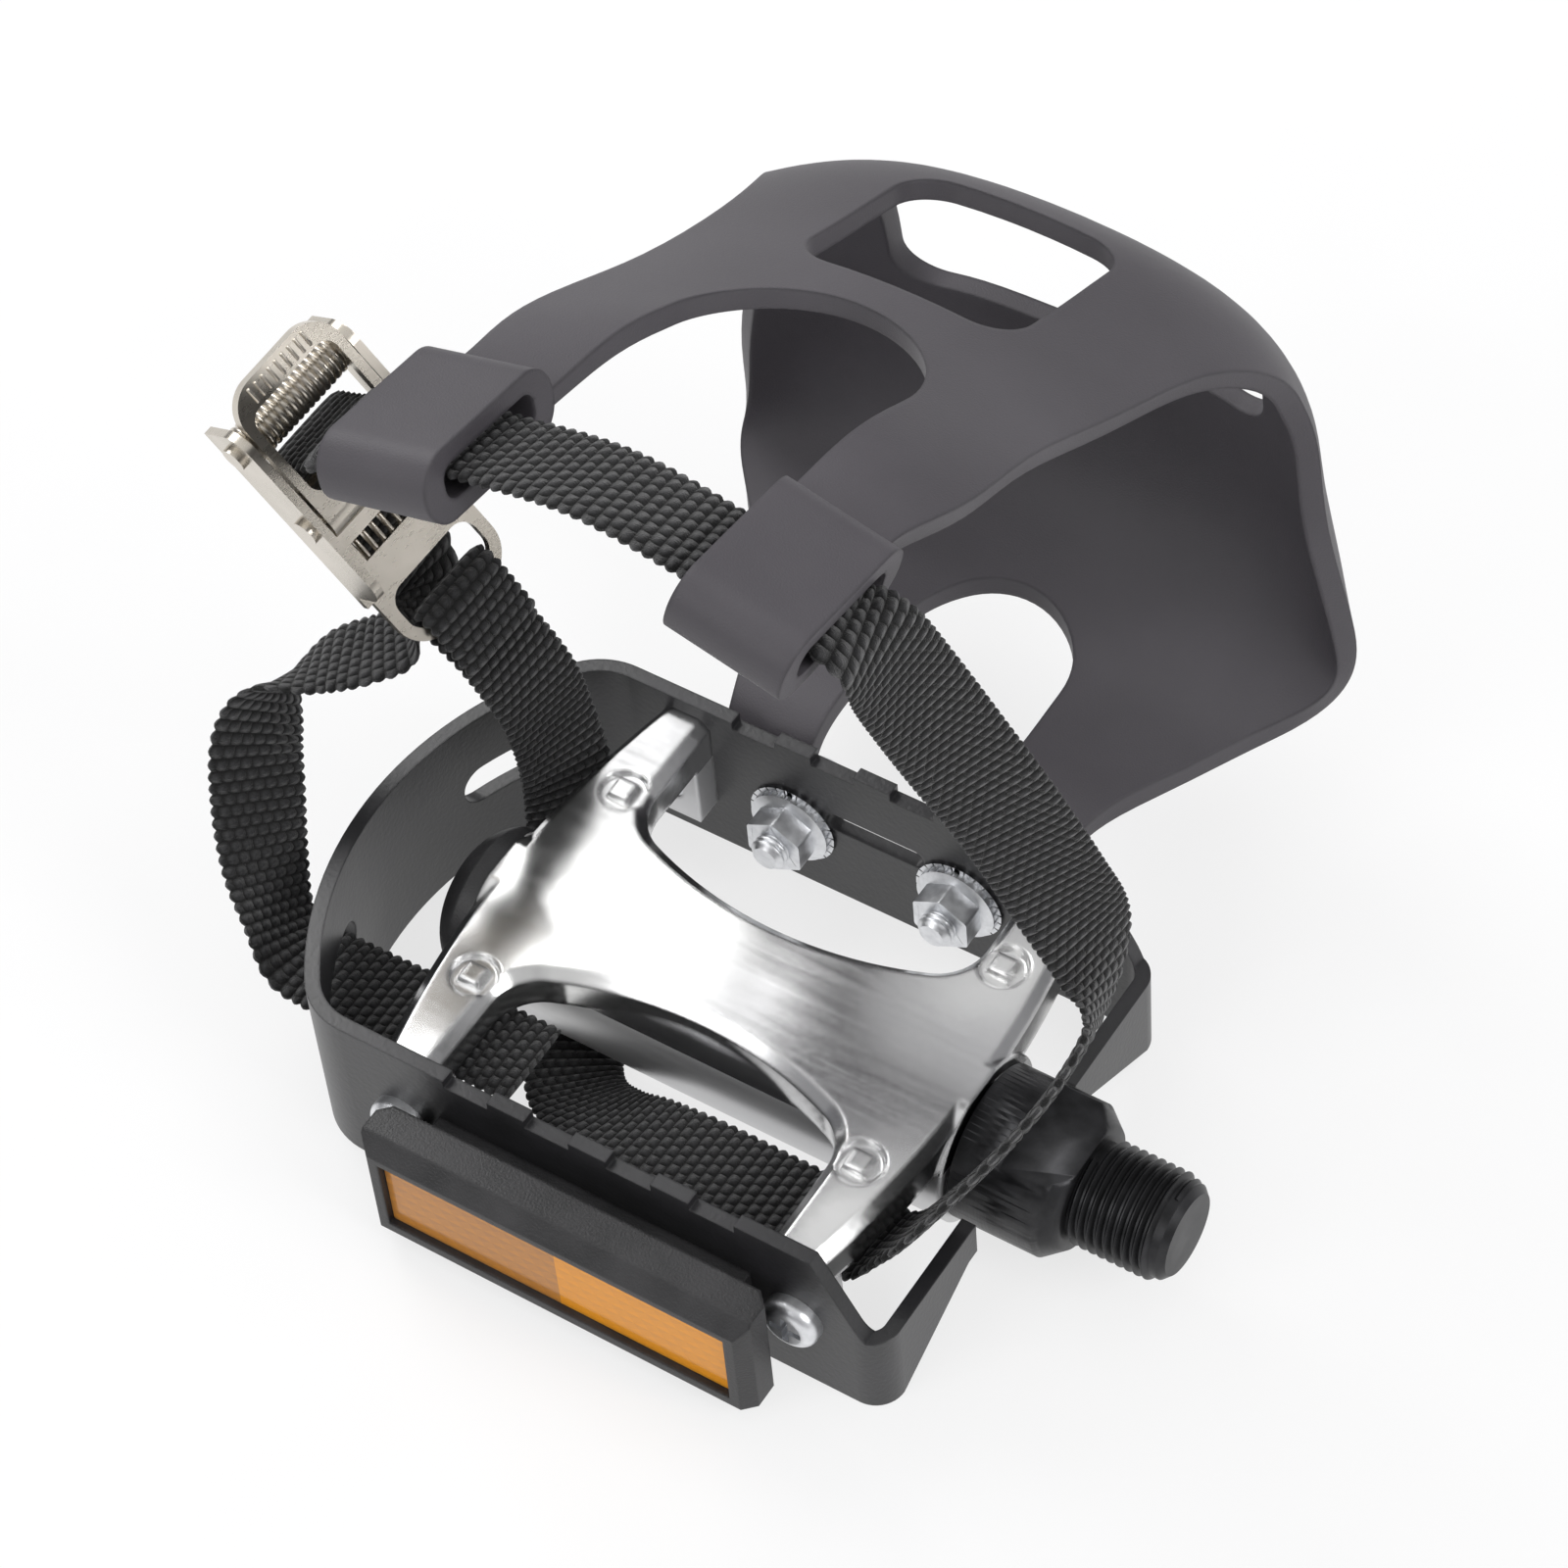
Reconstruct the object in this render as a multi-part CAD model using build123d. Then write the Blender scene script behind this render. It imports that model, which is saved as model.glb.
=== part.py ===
from build123d import *
import os

# Left toe clip pedal: die-cast body in a steel cage, reflector, moulded toe clip and a buckled strap.
# Frame: +X runs along the spindle towards the crank, +Y points forward to the toe, +Z is up.
# The origin is on the spindle axis at the shoulder where the crank thread starts. Millimetres.

# Spindle
thread_diameter = 14.288
thread_length = 13.5
thread_chamfer = 1.3
shoulder_diameter = 16.6
collar_diameter = 20.8
collar_bevel = 2.6
collar_gap = 0.5
collar_length = 15.1
wrench_flats = 15.0
flats_length = 8.5
journal_diameter = 13.0
shaft_diameter = 10.0
stud_diameter = 8.0
stud_length = 13.5

# Body casting
barrel_diameter = 22.8
barrel_flat = -9.8
barrel_proud = 0.1
deck_top = 11.0
deck_thickness = 6.0
deck_end_width = 64.0
deck_bulge = 3.6
leg_width = 7.2
window_corner = 7.0
window_shoulder = 14.4
deck_waist = 17.0
rim_bevel = 1.5
foot_depth = 4.2
foot_bottom = -5.0
pip_spacing_y = 34.0
pip_size = 3.2
pip_recess_diameter = 6.4
pip_recess_depth = 0.7
pip_rise = 0.5

# Cage
strap_lane = 16.1
cage_top = 13.2
cage_bottom = -13.0
sheet = 2.0
cage_end_gap = 19.5
flange_gap = 5.8
end_bow = 13.4
end_corner = 10.0
flange_bend = 4.0
flange_tip = 12.0
flange_top = 0.6
flange_low_tip = -5.0
end_slope_start = 9.5
end_slope_finish = 2.6
band_slot_near = 12.4
band_slot_far = 27.8
band_slot_low = -2.6
band_slot_high = 3.8
notch_width = 6.5
notch_pitch = 12.0
notch_depth = 1.3
plate_slot_length = 15.0
plate_slot_height = 3.2
plate_slot_level = 2.0

# Screws that hold the cage on the casting
cage_screw_shift = 0.8
cage_screw_diameter = 4.0
cage_screw_short = 0.2
screw_head_diameter = 7.8
screw_head_height = 2.6
screw_recess = 1.2

# Bearings and outboard end
ball_diameter = 3.175
ball_count = 12
ball_circle = 13.4
race_clearance = 0.1
cup_diameter = 18.4
cup_depth = 5.4
cup_lip = 14.4
ball_depth = 1.9
seal_width = 2.2
cap_diameter = 21.4
cap_dome = 6.6
cap_wall = 1.2
cap_plug = 2.0
lock_nut_flats = 12.0
lock_nut_height = 2.2
lock_washer_thickness = 0.8

# Reflector
reflector_width = 57.0
reflector_front = 10.0
reflector_back = 3.4
reflector_top = 8.2
reflector_bottom = -9.6
reflector_bevel = 2.6
mount_block_width = 46.0
mount_block_top = 4.5
mount_block_bottom = -6.5
lens_width = 50.6
lens_top = 4.4
lens_bottom = -8.0
lens_thickness = 2.0
lens_recess = 1.0
peg_spacing = 34.0
peg_diameter = 4.4
peg_length = 3.6
peg_level = -1.0

# Toe clip moulding
clip_wall = 3.0
clip_screw_gap = 0.5
clip_bolt_spacing = 25.4
clip_leg_gap = 24.6
clip_arch_depth = 36.8
clip_hole_width = 30.0
clip_hole_length = 28.5
clip_hole_start = 10.8
clip_hole_corner = 5.5
clip_throat_width = 31.0
clip_throat_start = 3.8
clip_window_width = 55.0
clip_window_low = 44.0
clip_window_high = 68.0
clip_window_corner = 6.0
loop_width = 15.0
loop_length = 24.0
loop_height = 9.0
loop_corner = 4.2
loop_slot_length = 17.0
loop_slot_height = 4.4
loop_slot_corner = 1.8
loop_spacing = 45.4
loop_behind = 47.2
loop_z = 110.0
loop_pitch = -9.0
loop_roll = 13.0

# Profile of the clip from its foot, round the toe, to the strap loops. Each row gives the outer face on the
# middle plane (how far in front of the cage plate, and z), how much wider each half is than at the foot, and
# how far the edges are swept back and lifted.
clip_rows = [
    (3.05, -10.0, 0.0, 0.0, 0.0),
    (3.05, -3.5, 0.0, 0.0, 0.0),
    (3.05, 2.6, 0.0, 0.0, 0.0),
    (5.1, 6.6, 0.4, 0.0, 0.2),
    (9.8, 8.2, 2.2, 0.0, 0.6),
    (17.3, 8.2, 6.2, 0.0, 1.2),
    (26.3, 8.4, 11.7, 0.0, 2.0),
    (36.3, 10.2, 18.2, 1.0, 2.8),
    (45.3, 15.0, 21.2, 4.5, 3.0),
    (52.8, 23.0, 21.2, 11.5, 2.5),
    (56.5, 33.0, 20.2, 16.5, 1.0),
    (57.1, 44.0, 18.4, 18.0, 0.0),
    (56.1, 55.5, 16.7, 16.5, -2.0),
    (52.3, 67.0, 14.7, 12.0, -5.0),
    (44.3, 77.2, 12.2, 6.0, -7.5),
    (32.3, 83.8, 8.7, 1.5, -7.0),
    (18.3, 89.2, 6.2, 0.0, -6.0),
    (4.3, 95.4, 5.0, 0.0, -5.4),
    (-10.7, 103.0, 4.8, 0.0, -5.0),
    (-24.7, 109.2, 5.0, 0.0, -5.0),
    (-38.7, 112.8, 5.4, 0.0, -5.0),
]

# Toe clip fasteners
bolt_diameter = 5.0
bolt_level = -1.8
bolt_inside = 7.2
bolt_head_diameter = 9.0
bolt_head_height = 3.0
washer_diameter = 10.0
washer_thickness = 1.0
nut_flange_diameter = 11.6
nut_flange_height = 1.3
nut_flats = 8.0
nut_height = 5.0
fit_clearance = 0.1

# Strap
strap_width = 13.0
strap_thickness = 1.5
strap_cuts = 3

# Buckle, laid out along its own length from the thumb bar to the tail bar
buckle_outboard = 3.4
buckle_forward = 10.9
buckle_level = 59.6
buckle_run = (0.57, 0.10, -0.8155)
buckle_face = (0.79, -0.24, 0.523)
buckle_length = 45.0
buckle_width = 20.0
buckle_sheet = 1.2
ear_start = 4.0
ear_end = 33.0
ear_height = 7.4
base_start = 17.6
tail_length = 10.0
tail_width = 18.0
tail_bar = 2.2
tail_corner = 5.0
tail_window_corner = 2.5
tail_window_length = 6.8
tail_window_width = 14.6
teeth_slot_at = 29.0
teeth_slot_width = 12.0
teeth_slot_length = 3.2
lever_pin_at = 20.0
lever_pin_height = 4.7
lever_pin_diameter = 2.6
roller_at = 7.4
roller_height = 3.1
roller_diameter = 5.6
roller_pin_diameter = 2.4
pin_clearance = 0.08
pin_head = 0.8
side_clearance = 0.3
cam_diameter = 6.4
lever_low = 6.4
lever_high = 8.0
lever_arm = 1.3
lever_bar = 3.4

# Places worked out from the sizes above
barrel_length = deck_end_width + 2 * (deck_bulge + barrel_proud)
body_middle = -collar_length - barrel_length / 2
barrel_inboard = body_middle + barrel_length / 2
barrel_outboard = body_middle - barrel_length / 2
window_width = deck_end_width - 2 * leg_width
pip_spacing_x = window_width + leg_width
cage_depth = barrel_diameter + 2 * (strap_lane + foot_depth + sheet)
cage_outboard = barrel_outboard - cage_end_gap
cage_inboard = barrel_inboard + flange_gap
cage_screw_spacing = window_width + leg_width + 2 * cage_screw_shift
cage_screw_length = sheet + foot_depth - cage_screw_short
plate_inner = cage_depth / 2 - sheet
plate_outer = cage_depth / 2
cup_in_face = barrel_inboard - seal_width
cup_out_face = barrel_outboard + cap_plug + 1.0
ball_in = cup_in_face - ball_depth
ball_out = cup_out_face + ball_depth
collar_start = barrel_inboard + collar_gap
cone_back = barrel_outboard - 0.6
clip_arch_reach = plate_outer + clip_arch_depth
clip_hole_rear = plate_outer + clip_hole_start
clip_hole_front = clip_hole_rear + clip_hole_length
clip_throat_front = plate_outer + clip_throat_start
clip_foot_face = plate_outer + clip_rows[0][0]
clip_foot_half = cage_screw_spacing / 2 - screw_head_diameter / 2 - clip_screw_gap
loop_y = plate_outer - loop_behind
lane_middle = barrel_diameter / 2 + strap_lane / 2
buckle_middle = (cage_outboard - buckle_outboard, buckle_forward, buckle_level)
base_end = buckle_length - tail_length
tail_window_start = buckle_length - tail_bar - tail_window_length
buckle = Plane(origin=buckle_middle, x_dir=buckle_run, z_dir=buckle_face)


def turned(points):
    """Turn a closed outline of (x, radius) points about the spindle axis."""
    return revolve(make_face(Polyline(*points, close=True)), Axis.X)


def rod(start, radius, length, way=(1, 0, 0)):
    """A plain cylinder that starts at a point and runs one way."""
    return extrude(Plane(origin=start, z_dir=way) * Circle(radius), amount=length)


def block(x0, x1, y0, y1, z0, z1):
    """A box given by its limits on each axis."""
    middle = ((x0 + x1) / 2, (y0 + y1) / 2, (z0 + z1) / 2)
    return Pos(*middle) * Box(abs(x1 - x0), abs(y1 - y0), abs(z1 - z0))


def race(x):
    """The ring of space that the balls of one bearing roll in."""
    return revolve(Pos(x, ball_circle / 2) * Circle(ball_diameter / 2 + race_clearance), Axis.X)


def make_spindle():
    """Forged axle: crank thread, collar with wrench flats, inboard cone, shaft and outboard stud."""
    thread = thread_diameter / 2
    collar = collar_diameter / 2
    journal = journal_diameter / 2
    shaft = shaft_diameter / 2
    stud = stud_diameter / 2
    cone_end = ball_in - 1.0
    stud_end = barrel_outboard - 4.4
    stud_start = stud_end + stud_length
    axle = turned([
        (thread_length, 0),
        (thread_length, thread - thread_chamfer),
        (thread_length - thread_chamfer, thread),
        (0, thread),
        (0, shoulder_diameter / 2),
        (-collar_bevel, collar),
        (collar_start, collar),
        (collar_start, journal),
        (cone_end, journal),
        (cone_end - 2.5, shaft),
        (stud_start, shaft),
        (stud_start, stud),
        (stud_end, stud),
        (stud_end, 0),
    ])
    axle -= race(ball_in)
    for side in (-1, 1):
        flat = side * wrench_flats / 2
        axle -= block(-flats_length, 0.5, -collar, collar, flat, flat + side * collar) - rod((0, 0, 0), thread, 1)
    return axle


def make_cup(face, way):
    """Hardened ring pressed into the barrel, with the ball race in its mouth."""
    outer = cup_diameter / 2
    back = face - way * cup_depth
    step = face - way * (ball_depth + 1.2)
    mouth = ball_circle / 2 + 0.8
    lip = cup_lip / 2
    ring = turned([(face, mouth), (face, outer), (back, outer), (back, lip), (step, lip), (step, mouth)])
    return ring - race(face - way * ball_depth)


def make_balls(x):
    """One ring of loose balls."""
    ball = Pos(x, ball_circle / 2, 0) * Sphere(ball_diameter / 2)
    return [Rot(index * 360 / ball_count, 0, 0) * ball for index in range(ball_count)]


def make_cone():
    """Adjusting cone screwed on the outboard stud."""
    bore = stud_diameter / 2 + fit_clearance / 2
    front = ball_out + 1.0
    outer = ball_circle / 2 - 0.3
    cone = turned([(front, bore), (front, outer - 1.0), (front - 2, outer), (cone_back, outer), (cone_back, bore)])
    return cone - race(ball_out)


def make_lock_washer():
    """Thin washer between the cone and the lock nut."""
    bore = stud_diameter / 2 + fit_clearance / 2
    far = cone_back - lock_washer_thickness
    outer = lock_nut_flats / 2
    return turned([(cone_back, bore), (cone_back, outer), (far, outer), (far, bore)])


def make_lock_nut():
    """Hexagon nut that locks the cone."""
    start = cone_back - lock_washer_thickness
    base = Plane(origin=(start, 0, 0), z_dir=(-1, 0, 0))
    hexagon = RegularPolygon(lock_nut_flats / 2, 6, major_radius=False)
    ring = hexagon - Circle(stud_diameter / 2 + fit_clearance / 2)
    return extrude(base * ring, amount=lock_nut_height)


def make_seal():
    """Rubber ring that closes the barrel against the spindle."""
    outer = cup_diameter / 2
    inner = journal_diameter / 2 + race_clearance
    far = barrel_inboard - seal_width
    return turned([(barrel_inboard, inner), (barrel_inboard, outer), (far, outer), (far, inner)])


def dome(shrink):
    """Solid of the dust cap outside the barrel, drawn in by a wall."""
    outer = cap_diameter / 2 - shrink
    tip = barrel_outboard - cap_dome + shrink
    edge = (barrel_outboard - cap_dome * 0.4, outer)
    crown = (tip, outer * 0.4)
    with BuildSketch() as half:
        with BuildLine():
            Line((barrel_outboard, 0), (barrel_outboard, outer))
            Line((barrel_outboard, outer), edge)
            ThreePointArc(edge, ((edge[0] + 2 * tip) / 3, (2 * outer + crown[1]) / 3), crown)
            Line(crown, (tip, 0))
            Line((tip, 0), (barrel_outboard, 0))
        make_face()
    return revolve(half.sketch, Axis.X)


def make_dust_cap():
    """Moulded dome that plugs the outboard end of the barrel."""
    plug = cup_diameter / 2
    rim = rod((barrel_outboard - cap_wall, 0, 0), cap_diameter / 2, cap_wall)
    cap = dome(0) - dome(cap_wall) + rim + rod((barrel_outboard, 0, 0), plug, cap_plug)
    return cap - rod((barrel_outboard - 2 * cap_wall, 0, 0), plug - cap_wall, cap_plug + 3 * cap_wall)


def window(side):
    """D-shaped opening between the barrel and one cage plate, seen from above."""
    left = body_middle - window_width / 2
    right = body_middle + window_width / 2
    plate = side * (plate_inner + 1)
    shoulder = side * window_shoulder
    with BuildSketch() as opening:
        with BuildLine():
            Line((left, plate), (left, shoulder))
            ThreePointArc((left, shoulder), (body_middle, side * deck_waist / 2), (right, shoulder))
            Line((right, shoulder), (right, plate))
            Line((right, plate), (left, plate))
        make_face()
        fillet(opening.vertices().filter_by(lambda v: abs(v.Y - shoulder) < 0.01), window_corner)
    return opening.sketch


def make_body():
    """Die-cast platform: barrel for the bearings, waisted deck and four legs to the cage plates."""
    left = body_middle - deck_end_width / 2
    right = body_middle + deck_end_width / 2
    with BuildSketch() as deck:
        with BuildLine():
            ThreePointArc((left, plate_inner), (left - deck_bulge, 0), (left, -plate_inner))
            Line((left, -plate_inner), (right, -plate_inner))
            ThreePointArc((right, -plate_inner), (right + deck_bulge, 0), (right, plate_inner))
            Line((right, plate_inner), (left, plate_inner))
        make_face()
    outline = deck.sketch - window(1) - window(-1)
    casting = extrude(Pos(0, 0, deck_top - deck_thickness) * outline, amount=deck_thickness)
    rim = casting.faces().sort_by(Axis.Z)[-1].edges()
    casting = chamfer(rim.filter_by(lambda e: abs(e.center().Y) < plate_inner - 0.1), rim_bevel)
    barrel = rod((barrel_outboard, 0, 0), barrel_diameter / 2, barrel_length)
    casting += barrel & block(barrel_outboard, barrel_inboard, -20, 20, barrel_flat, deck_top)
    for side in (-1, 1):
        near = side * (plate_inner - foot_depth)
        for end in (-1, 1):
            inner = body_middle + end * window_width / 2
            outer = body_middle + end * deck_end_width / 2
            casting += block(inner, outer, near, side * plate_inner, foot_bottom, deck_top - deck_thickness + 1)
            screw = (body_middle + end * cage_screw_spacing / 2, side * (plate_inner + 1), 0)
            casting -= rod(screw, cage_screw_diameter / 2, foot_depth + 2, (0, -side, 0))
    for x in (-pip_spacing_x / 2, pip_spacing_x / 2):
        for y in (-pip_spacing_y / 2, pip_spacing_y / 2):
            spot = (body_middle + x, y, deck_top - pip_recess_depth)
            casting -= rod(spot, pip_recess_diameter / 2, 3, (0, 0, 1))
            casting += extrude(Pos(*spot) * Rectangle(pip_size, pip_size), pip_recess_depth + pip_rise, taper=12)
    casting -= rod((barrel_outboard - 1, 0, 0), cup_lip / 2, barrel_length + 2)
    casting -= rod((cup_in_face - cup_depth, 0, 0), cup_diameter / 2, barrel_length)
    casting -= rod((cup_out_face + cup_depth, 0, 0), cup_diameter / 2, barrel_length, (-1, 0, 0))
    return casting


def make_cage():
    """One bent steel sheet: front and rear plates, bowed outboard end and two inboard flanges."""
    shoulder = cage_outboard + end_bow
    with BuildSketch() as plan:
        with BuildLine():
            Line((cage_inboard, -plate_outer), (shoulder, -plate_outer))
            ThreePointArc((shoulder, -plate_outer), (cage_outboard, 0), (shoulder, plate_outer))
            Line((shoulder, plate_outer), (cage_inboard, plate_outer))
            Line((cage_inboard, plate_outer), (cage_inboard, -plate_outer))
        make_face()
        fillet(plan.vertices().filter_by(lambda v: v.X < shoulder + 1), end_corner)
        fillet(plan.vertices().filter_by(lambda v: v.X > cage_inboard - 1), flange_bend)
    ring = plan.sketch - offset(plan.sketch, -sheet)
    band = extrude(Pos(0, 0, cage_bottom) * ring, amount=cage_top - cage_bottom)
    band -= block(cage_inboard - 2 * sheet, 0, -flange_tip, flange_tip, cage_bottom - 1, cage_top + 1)

    high = cage_top + 1
    slope = [
        (cage_inboard - end_slope_start, high),
        (cage_inboard - end_slope_start, cage_top),
        (cage_inboard - end_slope_finish, flange_top),
        (cage_inboard + 1, flange_top),
        (cage_inboard + 1, high),
    ]
    band -= extrude(Plane.XZ * make_face(Polyline(*slope, close=True)), cage_depth, both=True)
    low = cage_bottom - 1
    for side in (-1, 1):
        taper = [
            (side * (flange_tip - 1), low),
            (side * (flange_tip - 1), flange_low_tip),
            (side * (flange_tip + 2), flange_low_tip),
            (side * (plate_outer - flange_bend), cage_bottom),
            (side * (plate_outer - flange_bend), low),
        ]
        wedge = extrude(Plane.YZ * make_face(Polyline(*taper, close=True)), 2 * sheet, both=True)
        band -= Pos(cage_inboard - sheet, 0, 0) * wedge
        middle = (band_slot_near + band_slot_far) / 2
        slot_height = band_slot_high - band_slot_low
        slot = Plane.YZ * SlotOverall(band_slot_far - band_slot_near, slot_height)
        cutter = Pos(cage_outboard, side * middle, (band_slot_low + band_slot_high) / 2) * extrude(slot, end_bow)
        band -= cutter
        for step in (-1.5, -0.5, 0.5, 1.5):
            x = body_middle + step * notch_pitch
            y = side * plate_outer
            half = notch_width / 2
            band -= block(x - half, x + half, y - 3 * side, y + side, cage_top - notch_depth, cage_top + 1)
        for end in (-1, 1):
            screw = (body_middle + end * cage_screw_spacing / 2, side * (plate_outer + 1), 0)
            band -= rod(screw, cage_screw_diameter / 2 + fit_clearance, sheet + 2, (0, -side, 0))
    for end in (-1, 1):
        bolt = (body_middle + end * clip_bolt_spacing / 2, plate_outer + 1, bolt_level)
        band -= rod(bolt, bolt_diameter / 2 + fit_clearance, sheet + 2, (0, -1, 0))
        peg = (body_middle + end * peg_spacing / 2, -plate_outer - 1, peg_level)
        band -= rod(peg, peg_diameter / 2 + fit_clearance, sheet + 2, (0, 1, 0))
    slot = Plane.XZ * SlotOverall(plate_slot_length, plate_slot_height)
    band -= Pos(body_middle, plate_outer + 1, plate_slot_level) * extrude(slot, sheet + 2)
    return band


def make_cage_screws():
    """Pan head screws through the cage plates into the feet of the casting."""
    screws = []
    for side in (-1, 1):
        for end in (-1, 1):
            x = body_middle + end * cage_screw_spacing / 2
            head = rod((x, side * plate_outer, 0), screw_head_diameter / 2, screw_head_height, (0, side, 0))
            head = fillet(head.edges().sort_by(Axis.Y)[-1 if side > 0 else 0], screw_head_height * 0.6)
            shank = rod((x, side * plate_outer, 0), cage_screw_diameter / 2, cage_screw_length, (0, -side, 0))
            top = side * (plate_outer + screw_head_height)
            deep = top - side * screw_recess
            arm = 2.2
            cross = block(x - arm, x + arm, top, deep, -0.5, 0.5) + block(x - 0.5, x + 0.5, top, deep, -arm, arm)
            screws.append(head + shank - cross)
    return screws


def make_reflector_housing():
    """Moulded reflector case with a mounting block and two pegs that snap through the rear plate."""
    back = -plate_outer
    case_back = back - reflector_back
    front = back - reflector_front
    half = reflector_width / 2
    case = block(body_middle - half, body_middle + half, case_back, front, reflector_bottom, reflector_top)
    edges = case.faces().sort_by(Axis.Y)[0].edges()
    case = chamfer(edges.sort_by(Axis.Z)[-1], reflector_bevel, reflector_bevel * 0.8)
    case = chamfer(case.edges().filter_by(Axis.Z), 1.6)
    block_half = mount_block_width / 2
    left = body_middle - block_half
    case += block(left, left + mount_block_width, back, case_back - 1, mount_block_bottom, mount_block_top)
    pocket = lens_width / 2 + fit_clearance
    deep = front + lens_recess + lens_thickness
    low = lens_bottom - fit_clearance
    case -= block(body_middle - pocket, body_middle + pocket, front - 1, deep, low, lens_top + fit_clearance)
    for end in (-1, 1):
        start = (body_middle + end * peg_spacing / 2, back, peg_level)
        case += rod(start, peg_diameter / 2, peg_length, (0, 1, 0))
    return case


def make_reflector_lens():
    """Amber lens that sits in the pocket of the case."""
    half = lens_width / 2
    face = -plate_outer - reflector_front + lens_recess
    return block(body_middle - half, body_middle + half, face, face + lens_thickness, lens_bottom, lens_top)


def skin(index, v):
    """Point on the outer face of the clip, v running from -1 to 1 across the width."""
    ahead, z, wider, back, lift = clip_rows[index]
    half = clip_foot_half + wider
    return Vector(body_middle + v * half, plate_outer + ahead - back * v**4, z + lift * v * v)


def inward(index, v):
    """Direction from the outer face of the clip to its inner face."""
    last = len(clip_rows) - 1
    along = skin(min(index + 1, last), v) - skin(max(index - 1, 0), v)
    across = skin(index, min(v + 0.05, 1)) - skin(index, max(v - 0.05, -1))
    normal = across.cross(along)
    if index == 0:
        normal = Vector(0, -1, 0)
    if index == last:
        normal = Vector(normal.X, 0, normal.Z)
    return normal.normalized()


def clip_section(index):
    """Closed outline of the clip wall at one row."""
    steps = [step / 4 for step in range(-4, 5)]
    outer = [skin(index, v) for v in steps]
    inner = [skin(index, v) + inward(index, v) * clip_wall for v in steps]
    sides = [Edge.make_line(outer[-1], inner[-1]), Edge.make_line(inner[0], outer[0])]
    return Wire([Edge.make_spline(outer), sides[0], Edge.make_spline(inner[::-1]), sides[1]])


def make_toe_clip():
    """Nylon toe clip: foot, scoop, pillars round the toe, top limb and two strap loops."""
    clip = Part() + Solid.make_loft([clip_section(index) for index in range(len(clip_rows))])
    gap = clip_leg_gap / 2
    arch = clip_arch_reach - gap
    low = Pos(0, 0, -20) * extrude(
        Pos(body_middle, arch) * Circle(gap) + Pos(body_middle, arch - 20) * Rectangle(2 * gap, 40), 36)
    clip -= low
    hole_length = clip_hole_front - clip_hole_rear
    hole_middle = (clip_hole_front + clip_hole_rear) / 2
    hole = RectangleRounded(clip_hole_width, hole_length, clip_hole_corner)
    clip -= Pos(body_middle, hole_middle, 58) * extrude(hole, 60)
    throat = clip_throat_width / 2
    centre = clip_throat_front - throat
    clip -= Pos(0, 0, 70) * extrude(
        Pos(body_middle, centre) * Circle(throat) + Pos(body_middle, centre - 30) * Rectangle(2 * throat, 60), 60)
    tall = clip_window_high - clip_window_low
    view = Plane.XZ * RectangleRounded(clip_window_width, tall, clip_window_corner)
    clip -= Pos(body_middle, plate_outer + 71, (clip_window_low + clip_window_high) / 2) * extrude(view, 40)
    for end in (-1, 1):
        spot = Pos(body_middle + end * loop_spacing / 2, loop_y, loop_z) * Rot(loop_pitch, end * loop_roll, 0)
        frame = fillet(Box(loop_width, loop_length, loop_height).edges().filter_by(Axis.X), loop_corner)
        clip += spot * frame
    reach = clip_foot_half + 2
    clip -= block(body_middle - reach, body_middle + reach, plate_inner, plate_outer, -15, 14)
    for end in (-1, 1):
        spot = Pos(body_middle + end * loop_spacing / 2, loop_y, loop_z) * Rot(loop_pitch, end * loop_roll, 0)
        slot = Box(loop_width + 12, loop_slot_length, loop_slot_height)
        clip -= spot * fillet(slot.edges().filter_by(Axis.X), loop_slot_corner)
        bolt = (body_middle + end * clip_bolt_spacing / 2, plate_outer - 1, bolt_level)
        clip -= rod(bolt, bolt_diameter / 2 + fit_clearance, clip_wall + 4, (0, 1, 0))
        seat = (bolt[0], clip_foot_face, bolt_level)
        clip -= rod(seat, washer_diameter / 2 + fit_clearance, clip_wall, (0, 1, 0))
    return clip


def make_bolts():
    """Pan head bolts from the front of the clip foot through the cage plate."""
    seat = clip_foot_face + washer_thickness
    bolts = []
    for end in (-1, 1):
        x = body_middle + end * clip_bolt_spacing / 2
        head = rod((x, seat, bolt_level), bolt_head_diameter / 2, bolt_head_height, (0, 1, 0))
        head = fillet(head.edges().sort_by(Axis.Y)[-1], bolt_head_height * 0.5)
        shank = rod((x, seat, bolt_level), bolt_diameter / 2, seat - plate_inner + bolt_inside, (0, -1, 0))
        bolts.append(head + shank)
    return bolts


def make_washers():
    """Plain washers under the bolt heads."""
    ring = Circle(washer_diameter / 2) - Circle(bolt_diameter / 2 + fit_clearance)
    face = clip_foot_face
    washers = []
    for end in (-1, 1):
        base = Plane(origin=(body_middle + end * clip_bolt_spacing / 2, face, bolt_level), z_dir=(0, 1, 0))
        washers.append(extrude(base * ring, washer_thickness))
    return washers


def make_nuts():
    """Flange nuts inside the front plate."""
    bore = Circle(bolt_diameter / 2 + fit_clearance / 2)
    nuts = []
    for end in (-1, 1):
        base = Plane(origin=(body_middle + end * clip_bolt_spacing / 2, plate_inner, bolt_level), z_dir=(0, -1, 0))
        flange = extrude(base * (Circle(nut_flange_diameter / 2) - bore), nut_flange_height)
        hexagon = RegularPolygon(nut_flats / 2, 6, major_radius=False) - bore
        nuts.append(flange + extrude(base * hexagon, nut_height))
    return nuts


def on_buckle(t, side, height):
    """World point for a place on the buckle: along it, across it and off its face."""
    return buckle.from_local_coords(Vector(t - buckle_length / 2, side, height))


def local_box(t0, t1, y0, y1, z0, z1):
    """A box in the buckle's own layout."""
    return block(t0 - buckle_length / 2, t1 - buckle_length / 2, y0, y1, z0, z1)


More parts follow.
